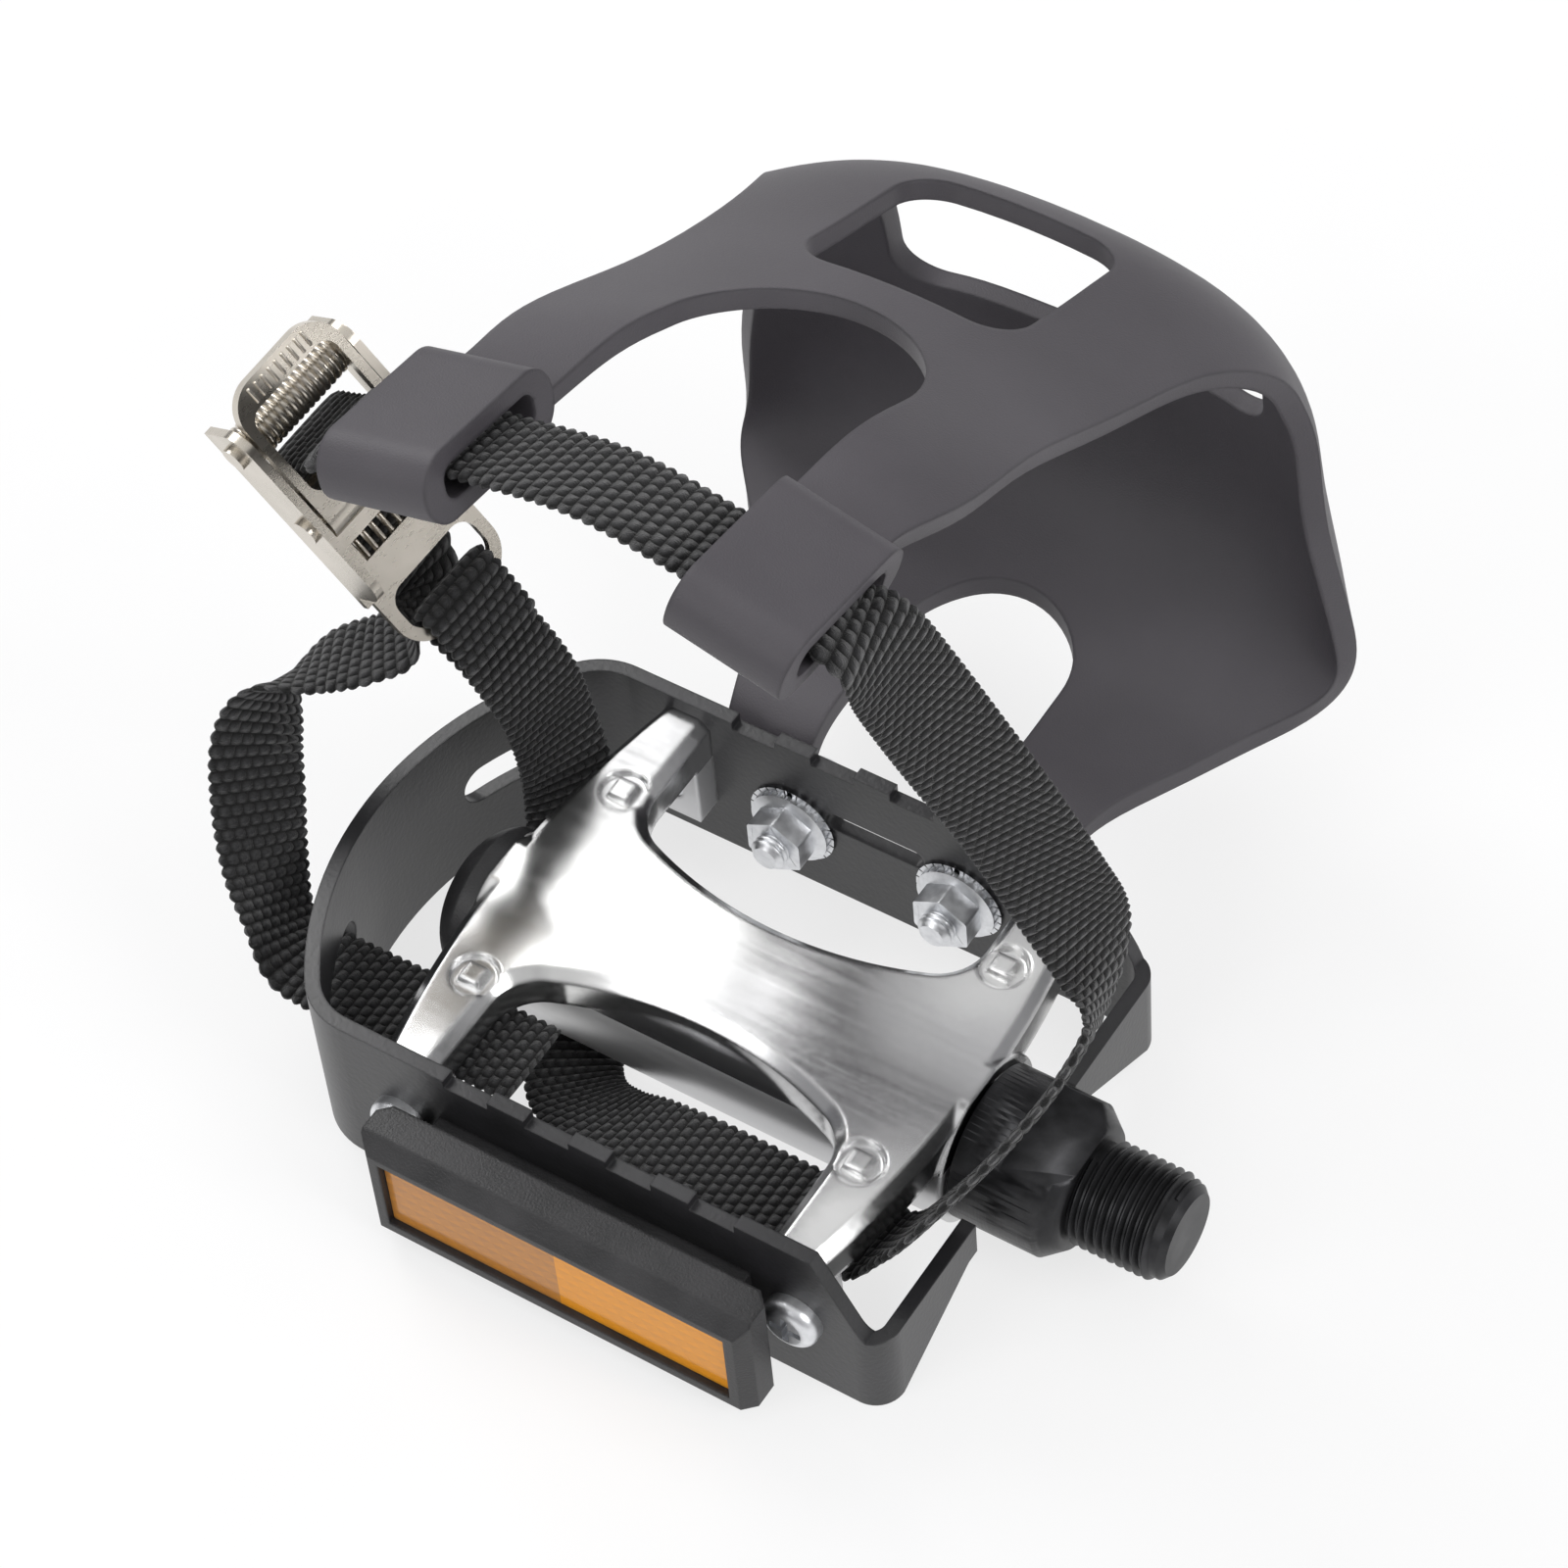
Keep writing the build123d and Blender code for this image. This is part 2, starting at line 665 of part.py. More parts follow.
def local_rod(t, height, radius, half):
    """A cylinder across the buckle."""
    x = t - buckle_length / 2
    return rod((x, -half, height), radius, 2 * half, (0, 1, 0))


def make_buckle_frame():
    """Pressed frame: two ears, a base with a gripping slot and a tail with the bar for the strap."""
    half = buckle_width / 2
    tail = tail_width / 2
    frame = local_box(base_start, base_end, -half, half, -buckle_sheet, 0)
    end_plate = local_box(base_end - 1, buckle_length, -tail, tail, -buckle_sheet, 0)
    frame += fillet(end_plate.edges().filter_by(Axis.Z).sort_by(Axis.X)[-2:], tail_corner)
    window_half = tail_window_width / 2
    window_end = buckle_length - tail_bar
    opening = local_box(tail_window_start, window_end, -window_half, window_half, -3, 2)
    frame -= fillet(opening.edges().filter_by(Axis.Z), tail_window_corner)
    slot = teeth_slot_length / 2
    teeth = teeth_slot_width / 2
    frame -= local_box(teeth_slot_at - slot, teeth_slot_at + slot, -teeth, teeth, -3, 2)
    for side in (-1, 1):
        ear = local_box(ear_start, ear_end, side * half, side * (half - buckle_sheet), -buckle_sheet, ear_height)
        upright = ear.edges().filter_by(Axis.Y).sort_by(Axis.Z)
        frame += fillet(upright[-2:], 3.2)
    frame -= local_rod(lever_pin_at, lever_pin_height, lever_pin_diameter / 2, half + 1)
    frame -= local_rod(roller_at, roller_height, roller_pin_diameter / 2, half + 1)
    return buckle * frame


def make_pin(at, height, diameter):
    """Riveted pin across the ears."""
    half = buckle_width / 2
    pin = local_rod(at, height, diameter / 2, half)
    for side in (-1, 1):
        start = (at - buckle_length / 2, side * half, height)
        pin += rod(start, diameter / 2 + 0.5, pin_head, (0, side, 0))
    return buckle * pin


def make_lever():
    """Thumb ring with the gripping cam, turning on the lever pin."""
    reach = buckle_width / 2 - buckle_sheet - side_clearance
    plate = local_box(0, lever_pin_at, -reach, reach, lever_low, lever_high)
    plate = fillet(plate.edges().filter_by(Axis.Z).sort_by(Axis.X)[:2], 4.5)
    open_half = reach - lever_arm
    opening = local_box(lever_bar, lever_pin_at - cam_diameter / 2, -open_half, open_half, lever_low - 1, lever_high + 1)
    opening = fillet(opening.edges().filter_by(Axis.Z), 2.0)
    lever = plate - opening + local_rod(lever_pin_at, lever_pin_height, cam_diameter / 2, reach)
    lever -= local_rod(lever_pin_at, lever_pin_height, lever_pin_diameter / 2 + pin_clearance, reach + 1)
    return buckle * lever


def make_roller():
    """Strap roller on its own pin between the ears."""
    reach = buckle_width / 2 - buckle_sheet - side_clearance
    roller = local_rod(roller_at, roller_height, roller_diameter / 2, reach)
    return buckle * (roller - local_rod(roller_at, roller_height, roller_pin_diameter / 2 + pin_clearance, reach + 1))


def strap_route():
    """Middle of the strap and the way its width lies, from the sewn end to the free end."""
    across = buckle.y_dir
    level = Vector(0, 1, 0)
    loop = Vector(0, 0.988, -0.156)
    route = [(on_buckle(buckle_length + t, 0, h), across) for t, h in (
        (6.5, 0.4), (2.5, 0.7), (-1.0, 1.1), (-2.4, 1.15), (-3.8, 0.3), (-4.1, -0.6), (-3.8, -1.5),
        (-2.4, -2.35), (-0.5, -2.3), (3.0, -1.7), (7.0, -1.5))]
    out = barrel_outboard
    inn = barrel_inboard
    lane = lane_middle
    loop_x = loop_spacing / 2
    drop = loop_width / 2 * 0.23
    near = loop_x - loop_width / 2
    far = loop_x + loop_width / 2
    route += [
        (Vector(out - 4.1, lane - 3.25, 25.0), Vector(0.25, 0.94, 0.2)),
        (Vector(out - 3.9, lane - 1.05, 14.0), Vector(0.3, 0.94, 0.1)),
        (Vector(out - 3.3, lane - 0.65, 4.0), Vector(0.5, 0.86, 0.1)),
        (Vector(out - 0.9, lane - 3.45, -4.6), Vector(0.7, 0.7, 0.05)),
        (Vector(out + 4.5, 9.6, -10.9), Vector(0.85, 0.52, 0.0)),
        (Vector(body_middle - 25.2, -1.0, -11.8), Vector(0.87, 0.5, 0.0)),
        (Vector(body_middle - 18.8, -12.4, -10.6), Vector(0.8, 0.6, 0.0)),
        (Vector(body_middle - 10.7, -lane + 1.45, -5.6), Vector(0.5, 0.86, 0.0)),
        (Vector(body_middle - 2.2, -lane - 0.35, -2.0), Vector(0.15, 0.98, 0.0)),
        (Vector(body_middle + 6.8, -lane - 0.55, -1.0), level),
        (Vector(body_middle + 18.8, -lane - 0.55, -1.0), level),
        (Vector(inn - 5.4, -lane - 0.55, -0.8), level),
        (Vector(inn - 0.4, -lane + 0.15, 2.6), Vector(-0.1, 0.9, -0.42)),
        (Vector(inn + 4.6, -lane + 2.95, 10.0), Vector(-0.2, 0.75, -0.63)),
        (Vector(inn + 9.1, -9.0, 16.4), Vector(-0.28, 0.55, -0.79)),
        (Vector(inn + 11.1, 0.0, 20.0), Vector(-0.3, 0.55, -0.78)),
        (Vector(inn + 11.3, 8.0, 24.0), Vector(-0.2, 0.7, -0.68)),
        (Vector(inn + 9.6, 11.2, 32.0), Vector(0.25, 0.9, -0.35)),
        (Vector(inn + 6.6, 7.6, 47.0), Vector(0.6, 0.8, 0.1)),
        (Vector(inn + 3.6, 2.6, 63.6), Vector(0.62, 0.76, 0.2)),
        (Vector(inn + 0.6, -2.6, 79.0), Vector(0.5, 0.85, 0.2)),
        (Vector(inn - 1.5, -8.0, 94.0), Vector(0.3, 0.94, 0.12)),
        (Vector(inn - 2.5, -12.0, 104.2), Vector(0.1, 0.99, -0.08)),
        (Vector(body_middle + far, loop_y, loop_z - drop), loop),
        (Vector(body_middle + loop_x, loop_y, loop_z), loop),
        (Vector(body_middle + near, loop_y, loop_z + drop), loop),
        (Vector(body_middle, loop_y, loop_z + 2.4 * drop), loop),
        (Vector(body_middle - near, loop_y, loop_z + drop), loop),
        (Vector(body_middle - loop_x, loop_y, loop_z), loop),
        (Vector(body_middle - far, loop_y, loop_z - drop), loop),
        (Vector(out + 0.1, -11.6, 104.0), Vector(0.05, 0.99, -0.05)),
        (Vector(out - 5.5, -7.2, 96.0), Vector(0.12, 0.98, 0.1)),
        (Vector(out - 11.9, -1.4, 86.6), Vector(0.15, 0.96, 0.2)),
        (on_buckle(12.4, 0.4, 14.0), across),
        (on_buckle(13.2, 0, 8.0), across),
        (on_buckle(13.5, 0, 3.0), across),
        (on_buckle(13.8, 0, -2.4), across),
        (on_buckle(16.4, 0, -4.8), across),
        (on_buckle(22.0, 0, -5.6), across),
        (on_buckle(30.0, 0, -6.0), across),
        (on_buckle(37.0, 0, -6.8), across),
        (on_buckle(41.5, 0, -9.0), Vector(0.05, 0.97, 0.15)),
        (Vector(out - 17.6, 11.4, 34.8), Vector(-0.1, 0.97, 0.08)),
        (Vector(out - 21.5, 7.4, 32.4), Vector(-0.3, 0.92, -0.02)),
        (Vector(out - 27.4, 3.6, 30.0), Vector(-0.35, 0.9, -0.15)),
        (Vector(out - 32.4, -0.8, 26.6), Vector(0.1, 0.86, -0.45)),
        (Vector(out - 33.0, -5.4, 21.6), Vector(0.5, 0.74, -0.42)),
        (Vector(out - 31.0, -9.6, 15.4), Vector(0.55, 0.75, -0.3)),
        (Vector(out - 27.6, -lane + 5.2, 8.8), Vector(0.3, 0.9, -0.25)),
        (Vector(out - 23.6, -lane + 1.6, 3.8), Vector(-0.2, 0.95, -0.1)),
        (Vector(out - 19.5, -lane - 0.35, 1.2), Vector(-0.41, 0.91, 0.0)),
        (Vector(out - 14.5, -lane - 0.65, 0.6), Vector(-0.35, 0.93, 0.0)),
        (Vector(out - 7.5, -lane - 0.65, 0.6), Vector(-0.1, 0.99, 0.0)),
        (Vector(out + 2.5, -lane - 0.55, 1.0), level),
        (Vector(body_middle - 25.2, -lane - 0.55, 1.8), level),
        (Vector(body_middle - 18.2, -lane - 0.55, 1.8), level),
    ]
    return route


def between(a, b, c, d, s):
    """Smooth step from b to c, with a and d setting the slopes at both ends."""
    slope_b = (c - a) * 0.5
    slope_c = (d - b) * 0.5
    keep = b * (2 * s**3 - 3 * s**2 + 1) + c * (3 * s**2 - 2 * s**3)
    return keep + slope_b * (s**3 - 2 * s**2 + s) + slope_c * (s**3 - s**2)


def make_strap():
    """Webbing strap as a flat band through the pedal, the clip loops and the buckle."""
    route = strap_route()
    last = len(route) - 1
    points = []
    widths = []
    for index in range(last):
        four = [route[min(max(index + step, 0), last)] for step in (-1, 0, 1, 2)]
        for cut in range(strap_cuts):
            points.append(between(*[item[0] for item in four], cut / strap_cuts))
            widths.append(between(*[item[1] for item in four], cut / strap_cuts))
    points.append(route[last][0])
    widths.append(route[last][1])
    sections = []
    for index, (point, width) in enumerate(zip(points, widths)):
        run = points[min(index + 1, len(points) - 1)] - points[max(index - 1, 0)]
        normal = run.cross(width).normalized()
        half = width.normalized() * (strap_width / 2)
        rise = normal * (strap_thickness / 2)
        corners = [point + half + rise, point - half + rise, point - half - rise, point + half - rise]
        sections.append(Wire.make_polygon(corners, close=True))
    return Solid.make_loft(sections, ruled=True)


def export(name, shape):
    """Write one node, as one solid or as a group of separate solids."""
    solids = shape if isinstance(shape, list) else [shape]
    bodies = [solid for item in solids for solid in item.solids()]
    node = bodies[0] if len(bodies) == 1 else Compound(children=bodies)
    node.label = name
    export_step(node, "parts/" + name + ".step")
    print(name, len(bodies), "solids,", round(sum(body.volume for body in bodies)), "mm3")


os.makedirs("parts", exist_ok=True)
export("body_casting", make_body())
export("cage", make_cage())
export("cage_screws", make_cage_screws())
export("spindle", make_spindle())
export("inboard_cup", make_cup(cup_in_face, 1))
export("outboard_cup", make_cup(cup_out_face, -1))
export("inboard_balls", make_balls(ball_in))
export("outboard_balls", make_balls(ball_out))
export("adjusting_cone", make_cone())
export("lock_washer", make_lock_washer())
export("lock_nut", make_lock_nut())
export("inboard_seal", make_seal())
export("dust_cap", make_dust_cap())
export("reflector_housing", make_reflector_housing())
export("reflector_lens", make_reflector_lens())
export("toe_clip", make_toe_clip())
export("toe_clip_bolts", make_bolts())
export("toe_clip_washers", make_washers())
export("toe_clip_nuts", make_nuts())
export("strap", make_strap())
export("buckle_frame", make_buckle_frame())
export("lever_pin", make_pin(lever_pin_at, lever_pin_height, lever_pin_diameter))
export("roller_pin", make_pin(roller_at, roller_height, roller_pin_diameter))
export("buckle_lever", make_lever())
export("strap_roller", make_roller())
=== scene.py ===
# %% [markdown]
# # A toe clip pedal
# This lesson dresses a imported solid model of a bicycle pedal: a polished casting in a black steel cage, a
# moulded toe clip, a woven strap and a small plated buckle. The solids already have the right sizes, so
# they stay where they are. Each one gets a finish made of shader nodes, and the pieces whose detail is too
# fine for solids are modelled here and put in their place.

import math

import bmesh
import bpy
from mathutils import Matrix, Vector


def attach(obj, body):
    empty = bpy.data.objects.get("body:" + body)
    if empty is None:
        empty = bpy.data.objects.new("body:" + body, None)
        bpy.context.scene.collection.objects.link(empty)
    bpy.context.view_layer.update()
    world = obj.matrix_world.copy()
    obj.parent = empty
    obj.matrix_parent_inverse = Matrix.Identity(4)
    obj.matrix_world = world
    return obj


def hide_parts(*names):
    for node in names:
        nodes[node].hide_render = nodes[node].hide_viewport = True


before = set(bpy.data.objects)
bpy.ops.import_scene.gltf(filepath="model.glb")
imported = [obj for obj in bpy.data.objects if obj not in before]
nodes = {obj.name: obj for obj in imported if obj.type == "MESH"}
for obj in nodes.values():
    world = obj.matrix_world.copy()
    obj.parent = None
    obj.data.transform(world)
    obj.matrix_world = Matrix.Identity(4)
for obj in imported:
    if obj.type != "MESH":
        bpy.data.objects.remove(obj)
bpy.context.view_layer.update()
bpy.ops.object.select_all(action="DESELECT")
mm = 0.001
body_middle = -50.8
print("solids loaded:", len(nodes))

# %% [markdown]
# ## Camera
# The picture is taken from above and behind the inboard end, looking down over the spindle at the toe clip.
# The camera stands where a long lens would, so that the pedal nearly fills a square frame. Its axes are
# given as three directions, because that keeps the small roll that a hand-held view has.

# %% Place the camera
eye = Vector((0.185, -0.3015, 0.5186))
fitted_view = Vector((-0.225, 0.516, -0.827)).normalized()
fitted_up = Vector((-0.41, 0.72, 0.56))
aim = Vector((-0.3776, 0.5042, -0.7767)).normalized()
swing = fitted_view.rotation_difference(aim)
up = (swing @ fitted_up).normalized()
right = aim.cross(up).normalized()
up = right.cross(aim).normalized()
lens = bpy.data.cameras.new("camera")
lens.lens = 117.0
lens.sensor_width = 36.0
lens.clip_end = 20.0
camera = bpy.data.objects.new("camera", lens)
camera.matrix_world = Matrix.Translation(eye) @ Matrix((right, up, -aim)).transposed().to_4x4()
bpy.context.scene.collection.objects.link(camera)
bpy.context.scene.camera = camera
print("camera looks along", [round(value, 3) for value in aim])

# %% [markdown]
# ## Writing shader maths
# A finish is a small sum of patterns. Written as nodes it is hard to read, so one class wraps a socket and
# lets Python's own signs add the Math nodes. A second class holds a material and has one method for every
# other node.


# %% A value in a shader
class Value:
    """One output socket. Sums on it add Math nodes."""

    def __init__(self, tree, socket):
        self.tree = tree
        self.socket = socket

    def maths(self, operation, a, b=0.0):
        item = self.tree.nodes.new("ShaderNodeMath")
        item.operation = operation
        for slot, part in zip(item.inputs, (a, b)):
            if isinstance(part, Value):
                self.tree.links.new(part.socket, slot)
            else:
                slot.default_value = part
        return Value(self.tree, item.outputs[0])

    def __add__(self, other):
        return self.maths("ADD", self, other)

    __radd__ = __add__

    def __sub__(self, other):
        return self.maths("SUBTRACT", self, other)

    def __rsub__(self, other):
        return self.maths("SUBTRACT", other, self)

    def __mul__(self, other):
        return self.maths("MULTIPLY", self, other)

    __rmul__ = __mul__

    def __truediv__(self, other):
        return self.maths("DIVIDE", self, other)

    def __gt__(self, other):
        return self.maths("GREATER_THAN", self, other)

    def sin(self):
        return self.maths("SINE", self)

    def size(self):
        return self.maths("ABSOLUTE", self)

    def wrap(self):
        return self.maths("FRACT", self)


# %% A finish
class Finish:
    """A material with a Principled shader, and one method that adds any other node."""

    def __init__(self, name, **constants):
        self.material = bpy.data.materials.new(name)
        self.material.use_nodes = True
        self.tree = self.material.node_tree
        self.shader = self.tree.nodes["Principled BSDF"]
        for key, value in constants.items():
            self.shader.inputs[key.replace("_", " ").title().replace("Ior", "IOR")].default_value = value

    def node(self, kind, settings, sockets, out=0):
        item = self.tree.nodes.new(kind)
        for key, value in settings.items():
            if key == "stops":
                for stop, (place, colour) in zip(item.color_ramp.elements, value):
                    stop.position = place
                    stop.color = (*colour, 1.0)
            else:
                setattr(item, key, value)
        for key, value in sockets.items():
            if isinstance(value, Value):
                self.tree.links.new(value.socket, item.inputs[key])
            else:
                item.inputs[key].default_value = value
        return Value(self.tree, item.outputs[out])

    def place(self, axis=None):
        spot = self.node("ShaderNodeTexCoord", {}, {}, "Object")
        return spot if axis is None else self.node("ShaderNodeSeparateXYZ", {}, {"Vector": spot}, axis)

    def noise(self, scale, detail=3.0, spot=None):
        where = spot or self.place()
        return self.node("ShaderNodeTexNoise", {}, {"Vector": where, "Scale": scale, "Detail": detail}, "Fac")

    def stretched(self, scale, squeeze):
        spot = self.node("ShaderNodeMapping", {}, {"Vector": self.place(), "Scale": squeeze})
        return self.noise(scale, 2.0, spot)

    def colours(self, mask, dark, light, low=0.3, high=0.7):
        stops = [(low, dark), (high, light)]
        self.feed("Base Color", self.node("ShaderNodeValToRGB", {"stops": stops}, {"Fac": mask}, "Color"))

    def bump(self, height, depth, strength=1.0, rounding=0.0):
        relief = {"Height": height, "Distance": depth, "Strength": strength}
        if rounding:
            relief["Normal"] = self.node("ShaderNodeBevel", {"samples": 4}, {"Radius": rounding})
        self.feed("Normal", self.node("ShaderNodeBump", {}, relief, "Normal"))

    def feed(self, socket, value):
        self.tree.links.new(value.socket, self.shader.inputs[socket])


finishes = {}


def keep(finish, *names):
    """Give a finish to CAD nodes and remember it by its own name."""
    finishes[finish.material.name] = finish.material
    for name in names:
        nodes[name].data.materials.clear()
        nodes[name].data.materials.append(finish.material)
    print(finish.material.name, "on", len(names), "solids")


# %% [markdown]
# ## Polished casting
# The body is die-cast aluminium, tumbled and polished. It mirrors the room, but softly: the skin still has
# the slow waves of the mould and hair-fine marks from the polishing wheel. Slow noise bends the reflection,
# and stretched noise roughens it in streaks. Below the deck the wheel didn't reach, so the metal there is
# rougher, as it was cast.

# %% Casting finish
casting = Finish("polished_casting", metallic=1.0)
waves = casting.noise(34.0, 1.0)
streaks = casting.stretched(900.0, (0.06, 1.0, 1.0))
pits = casting.noise(1500.0, 2.0)
as_cast = 1.0 - (casting.place("Z") > 4.5 * mm)
casting.colours(waves - as_cast * 0.1, (0.70, 0.70, 0.71), (0.88, 0.88, 0.87))
casting.feed("Roughness", 0.10 + 0.11 * streaks + 0.05 * pits + 0.3 * as_cast)
casting.bump(waves + pits * (0.001 + 0.008 * as_cast), 1.6 * mm, 0.5, 0.9 * mm)
keep(casting, "body_casting")

# %% [markdown]
# ## Painted steel
# The cage is bent from sheet and powder coated in black. Powder sets with a faint orange-peel skin and a
# satin gloss that goes greyer where it catches the sky. Rub marks are lighter and duller.

# %% Cage finish
paint = Finish("black_paint", coat_weight=0.25, coat_roughness=0.3, specular_ior_level=0.5)
peel = paint.noise(1500.0, 2.0)
rub = paint.noise(90.0, 4.0)
paint.colours(rub, (0.012, 0.012, 0.013), (0.028, 0.027, 0.031), 0.35, 0.8)
paint.feed("Roughness", 0.34 + 0.16 * rub)
paint.bump(peel, 0.1 * mm, 0.5, 0.4 * mm)
keep(paint, "cage")

# %% [markdown]
# ## Zinc plate
# Screws, bolts, washers and nuts are bright zinc. It has a bluish white colour and a cloudy gloss.

# %% Zinc finish
zinc = Finish("zinc_plate", metallic=1.0)
cloud = zinc.noise(700.0, 4.0)
zinc.colours(cloud, (0.68, 0.69, 0.71), (0.86, 0.87, 0.89))
zinc.feed("Roughness", 0.28 + 0.2 * cloud)
zinc.bump(zinc.noise(3000.0, 1.0), 0.01 * mm, 0.4)
keep(zinc, "cage_screws", "toe_clip_bolts", "toe_clip_washers", "toe_clip_nuts")

# %% [markdown]
# ## Black spindle
# The forged spindle is blackened and oiled. It is a dark metal rather than a paint, so its edges shine
# grey.

# %% Spindle finish
oxide = Finish("black_oxide", metallic=0.65, specular_ior_level=0.5)
film = oxide.noise(260.0, 4.0)
turning = oxide.stretched(4200.0, (1.0, 0.05, 0.05))
oxide.colours(film, (0.014, 0.014, 0.015), (0.040, 0.040, 0.043))
oxide.feed("Roughness", 0.34 + 0.14 * turning)
oxide.bump(turning, 0.012 * mm, 0.5)
keep(oxide, "spindle")

# %% [markdown]
# ## Bearing steel and rubber
# The balls, cups, cone, washer and lock nut sit inside the barrel. They are ground steel, smooth and
# bright, with a thin smear of grease. The seal is matt rubber with bloom on it.

# %% Bearing and seal finishes
ground = Finish("ground_steel", metallic=1.0)
grease = ground.noise(500.0, 3.0)
ground.colours(grease, (0.45, 0.44, 0.42), (0.66, 0.66, 0.66))
ground.feed("Roughness", 0.1 + 0.15 * grease)
inside = ("inboard_cup", "outboard_cup", "inboard_balls", "outboard_balls", "adjusting_cone")
keep(ground, *inside, "lock_washer", "lock_nut")
rubber = Finish("seal_rubber", specular_ior_level=0.3)
bloom = rubber.noise(600.0, 4.0)
rubber.colours(bloom, (0.010, 0.010, 0.010), (0.028, 0.027, 0.026))
rubber.feed("Roughness", 0.65 + 0.2 * bloom)
rubber.bump(rubber.noise(2400.0, 2.0), 0.08 * mm, 0.5)
keep(rubber, "inboard_seal")

# %% [markdown]
# ## Moulded plastic
# The reflector case and the dust cap are black plastic from a spark-eroded mould, which leaves a fine even
# grain. The toe clip is a softer nylon, dark grey with a hint of violet, satin rather than glossy. Its
# grain is finer.

# %% Plastic finishes
plastic = Finish("black_plastic", specular_ior_level=0.5)
grain = plastic.noise(3200.0, 2.0)
scuff = plastic.noise(150.0, 4.0)
plastic.colours(scuff, (0.014, 0.014, 0.015), (0.034, 0.033, 0.035))
plastic.feed("Roughness", 0.36 + 0.2 * scuff)
plastic.bump(grain, 0.12 * mm, 0.5, 0.6 * mm)
keep(plastic, "dust_cap", "reflector_housing")

nylon = Finish("clip_nylon", specular_ior_level=0.45)
flow = nylon.noise(38.0, 3.0)
leather = nylon.noise(4200.0, 2.0)
nylon.colours(flow, (0.060, 0.055, 0.063), (0.082, 0.076, 0.086), 0.3, 0.75)
nylon.feed("Roughness", 0.44 + 0.12 * flow + 0.05 * leather)
nylon.bump(leather, 0.1 * mm, 0.55, 0.9 * mm)
keep(nylon, "toe_clip")

# %% [markdown]
# ## Nickel plate
# The buckle is pressed steel with nickel plate, a warm grey mirror with a touch of yellow. Handling leaves
# faint smears.

# %% Nickel finish
nickel = Finish("nickel_plate", metallic=1.0)
smear = nickel.noise(160.0, 2.0)
drawn = nickel.stretched(2600.0, (1.0, 0.12, 1.0))
nickel.colours(smear, (0.58, 0.54, 0.47), (0.68, 0.63, 0.56))
nickel.feed("Roughness", 0.2 + 0.08 * smear + 0.08 * drawn)
nickel.bump(smear, 0.03 * mm, 0.3)
keep(nickel, "buckle_frame", "lever_pin", "roller_pin", "buckle_lever", "strap_roller")

# %% [markdown]
# ## Amber plastic
# The reflector lens is clear amber acrylic. Its back carries rows of little corner prisms that throw light
# back where it came from, so it looks like a honeycomb under glass. One half is painted a brighter orange
# than the other, a painted highlight where the lamp's light comes back. The shading draws the prisms' edges,
# and real facets come later.

# %% Amber finish
amber = Finish("amber_acrylic", ior=1.49, specular_ior_level=0.2, coat_weight=0.15, coat_roughness=0.1)
prism = 2.2 * mm
slant = amber.place("X") + amber.place("Z") * 0.577
counter = amber.place("X") - amber.place("Z") * 0.577
facet_a = (slant / prism).wrap()
facet_b = (counter / prism).wrap()
facet_c = (amber.place("Z") * 1.155 / prism).wrap()
step = (facet_a > facet_b) * 0.45 + (facet_b > facet_c) * 0.3 + (facet_c > facet_a) * 0.15
# The +X half is painted a brighter orange: a painted highlight where the lamp's light comes back.
clear = amber.place("X") > body_middle * mm
lit_half_and_prisms = clear * 0.6 + step * 0.3 + amber.noise(120.0, 3.0) * 0.15
amber.colours(lit_half_and_prisms, (0.46, 0.20, 0.05), (0.86, 0.34, 0.02), 0.1, 0.9)
amber.feed("Roughness", 0.12 + 0.1 * step)
amber.bump(step, 0.4 * mm, 0.35)
keep(amber, "reflector_lens")

# %% [markdown]
# ## Helpers for new pieces
# New pieces are modelled as by hand. A primitive is added, its faces are picked by their place, and
# operators shape them. The helpers below start such a piece, open it for editing and hand it over to the
# body that it moves with.


# %% Start, shape and finish a piece
def only(piece):
    """Make one object the selected and active one."""
    bpy.ops.object.select_all(action="DESELECT")
    piece.select_set(True)
    bpy.context.view_layer.objects.active = piece


def pick(piece, test, part="faces"):
    """Select the faces, edges or points of a piece that pass a test, in edit mode."""
    bpy.ops.mesh.select_all(action="DESELECT")
    shape = bmesh.from_edit_mesh(piece.data)
    chosen = [item for item in getattr(shape, part) if test(item)]
    for item in chosen:
        item.select_set(True)
    bmesh.update_edit_mesh(piece.data)
    return len(chosen)


def fix(piece):
    """Put the object's place into its mesh."""
    only(piece)
    bpy.ops.object.transform_apply(location=True, rotation=True, scale=True)


def settle(piece, name, finish, body, slot, *stands_for, angle=35):
    """Name a piece, give it its finish and let it ride on a body."""
    fix(piece)
    piece.name = name
    piece.data.name = name
    bpy.ops.object.shade_smooth_by_angle(angle=math.radians(angle))
    piece.data.materials.clear()
    piece.data.materials.append(finishes[finish])
    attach(piece, body)
    if stands_for:
        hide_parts(*stands_for)
    print(name, "has", len(piece.data.polygons), "faces")
    return piece


def modify(piece, kind, **settings):
    """Add a modifier and apply it."""
    only(piece)
    change = piece.modifiers.new(kind.lower(), kind)
    for key, value in settings.items():
        setattr(change, key, value)
    bpy.ops.object.modifier_apply(modifier=change.name)


def outline(name, points):
    """A chain of edges through points, the start of a turned piece."""
    mesh = bpy.data.meshes.new(name)
    mesh.from_pydata(points, [(i, i + 1) for i in range(len(points) - 1)], [])
    piece = bpy.data.objects.new(name, mesh)
    bpy.context.scene.collection.objects.link(piece)
    return piece


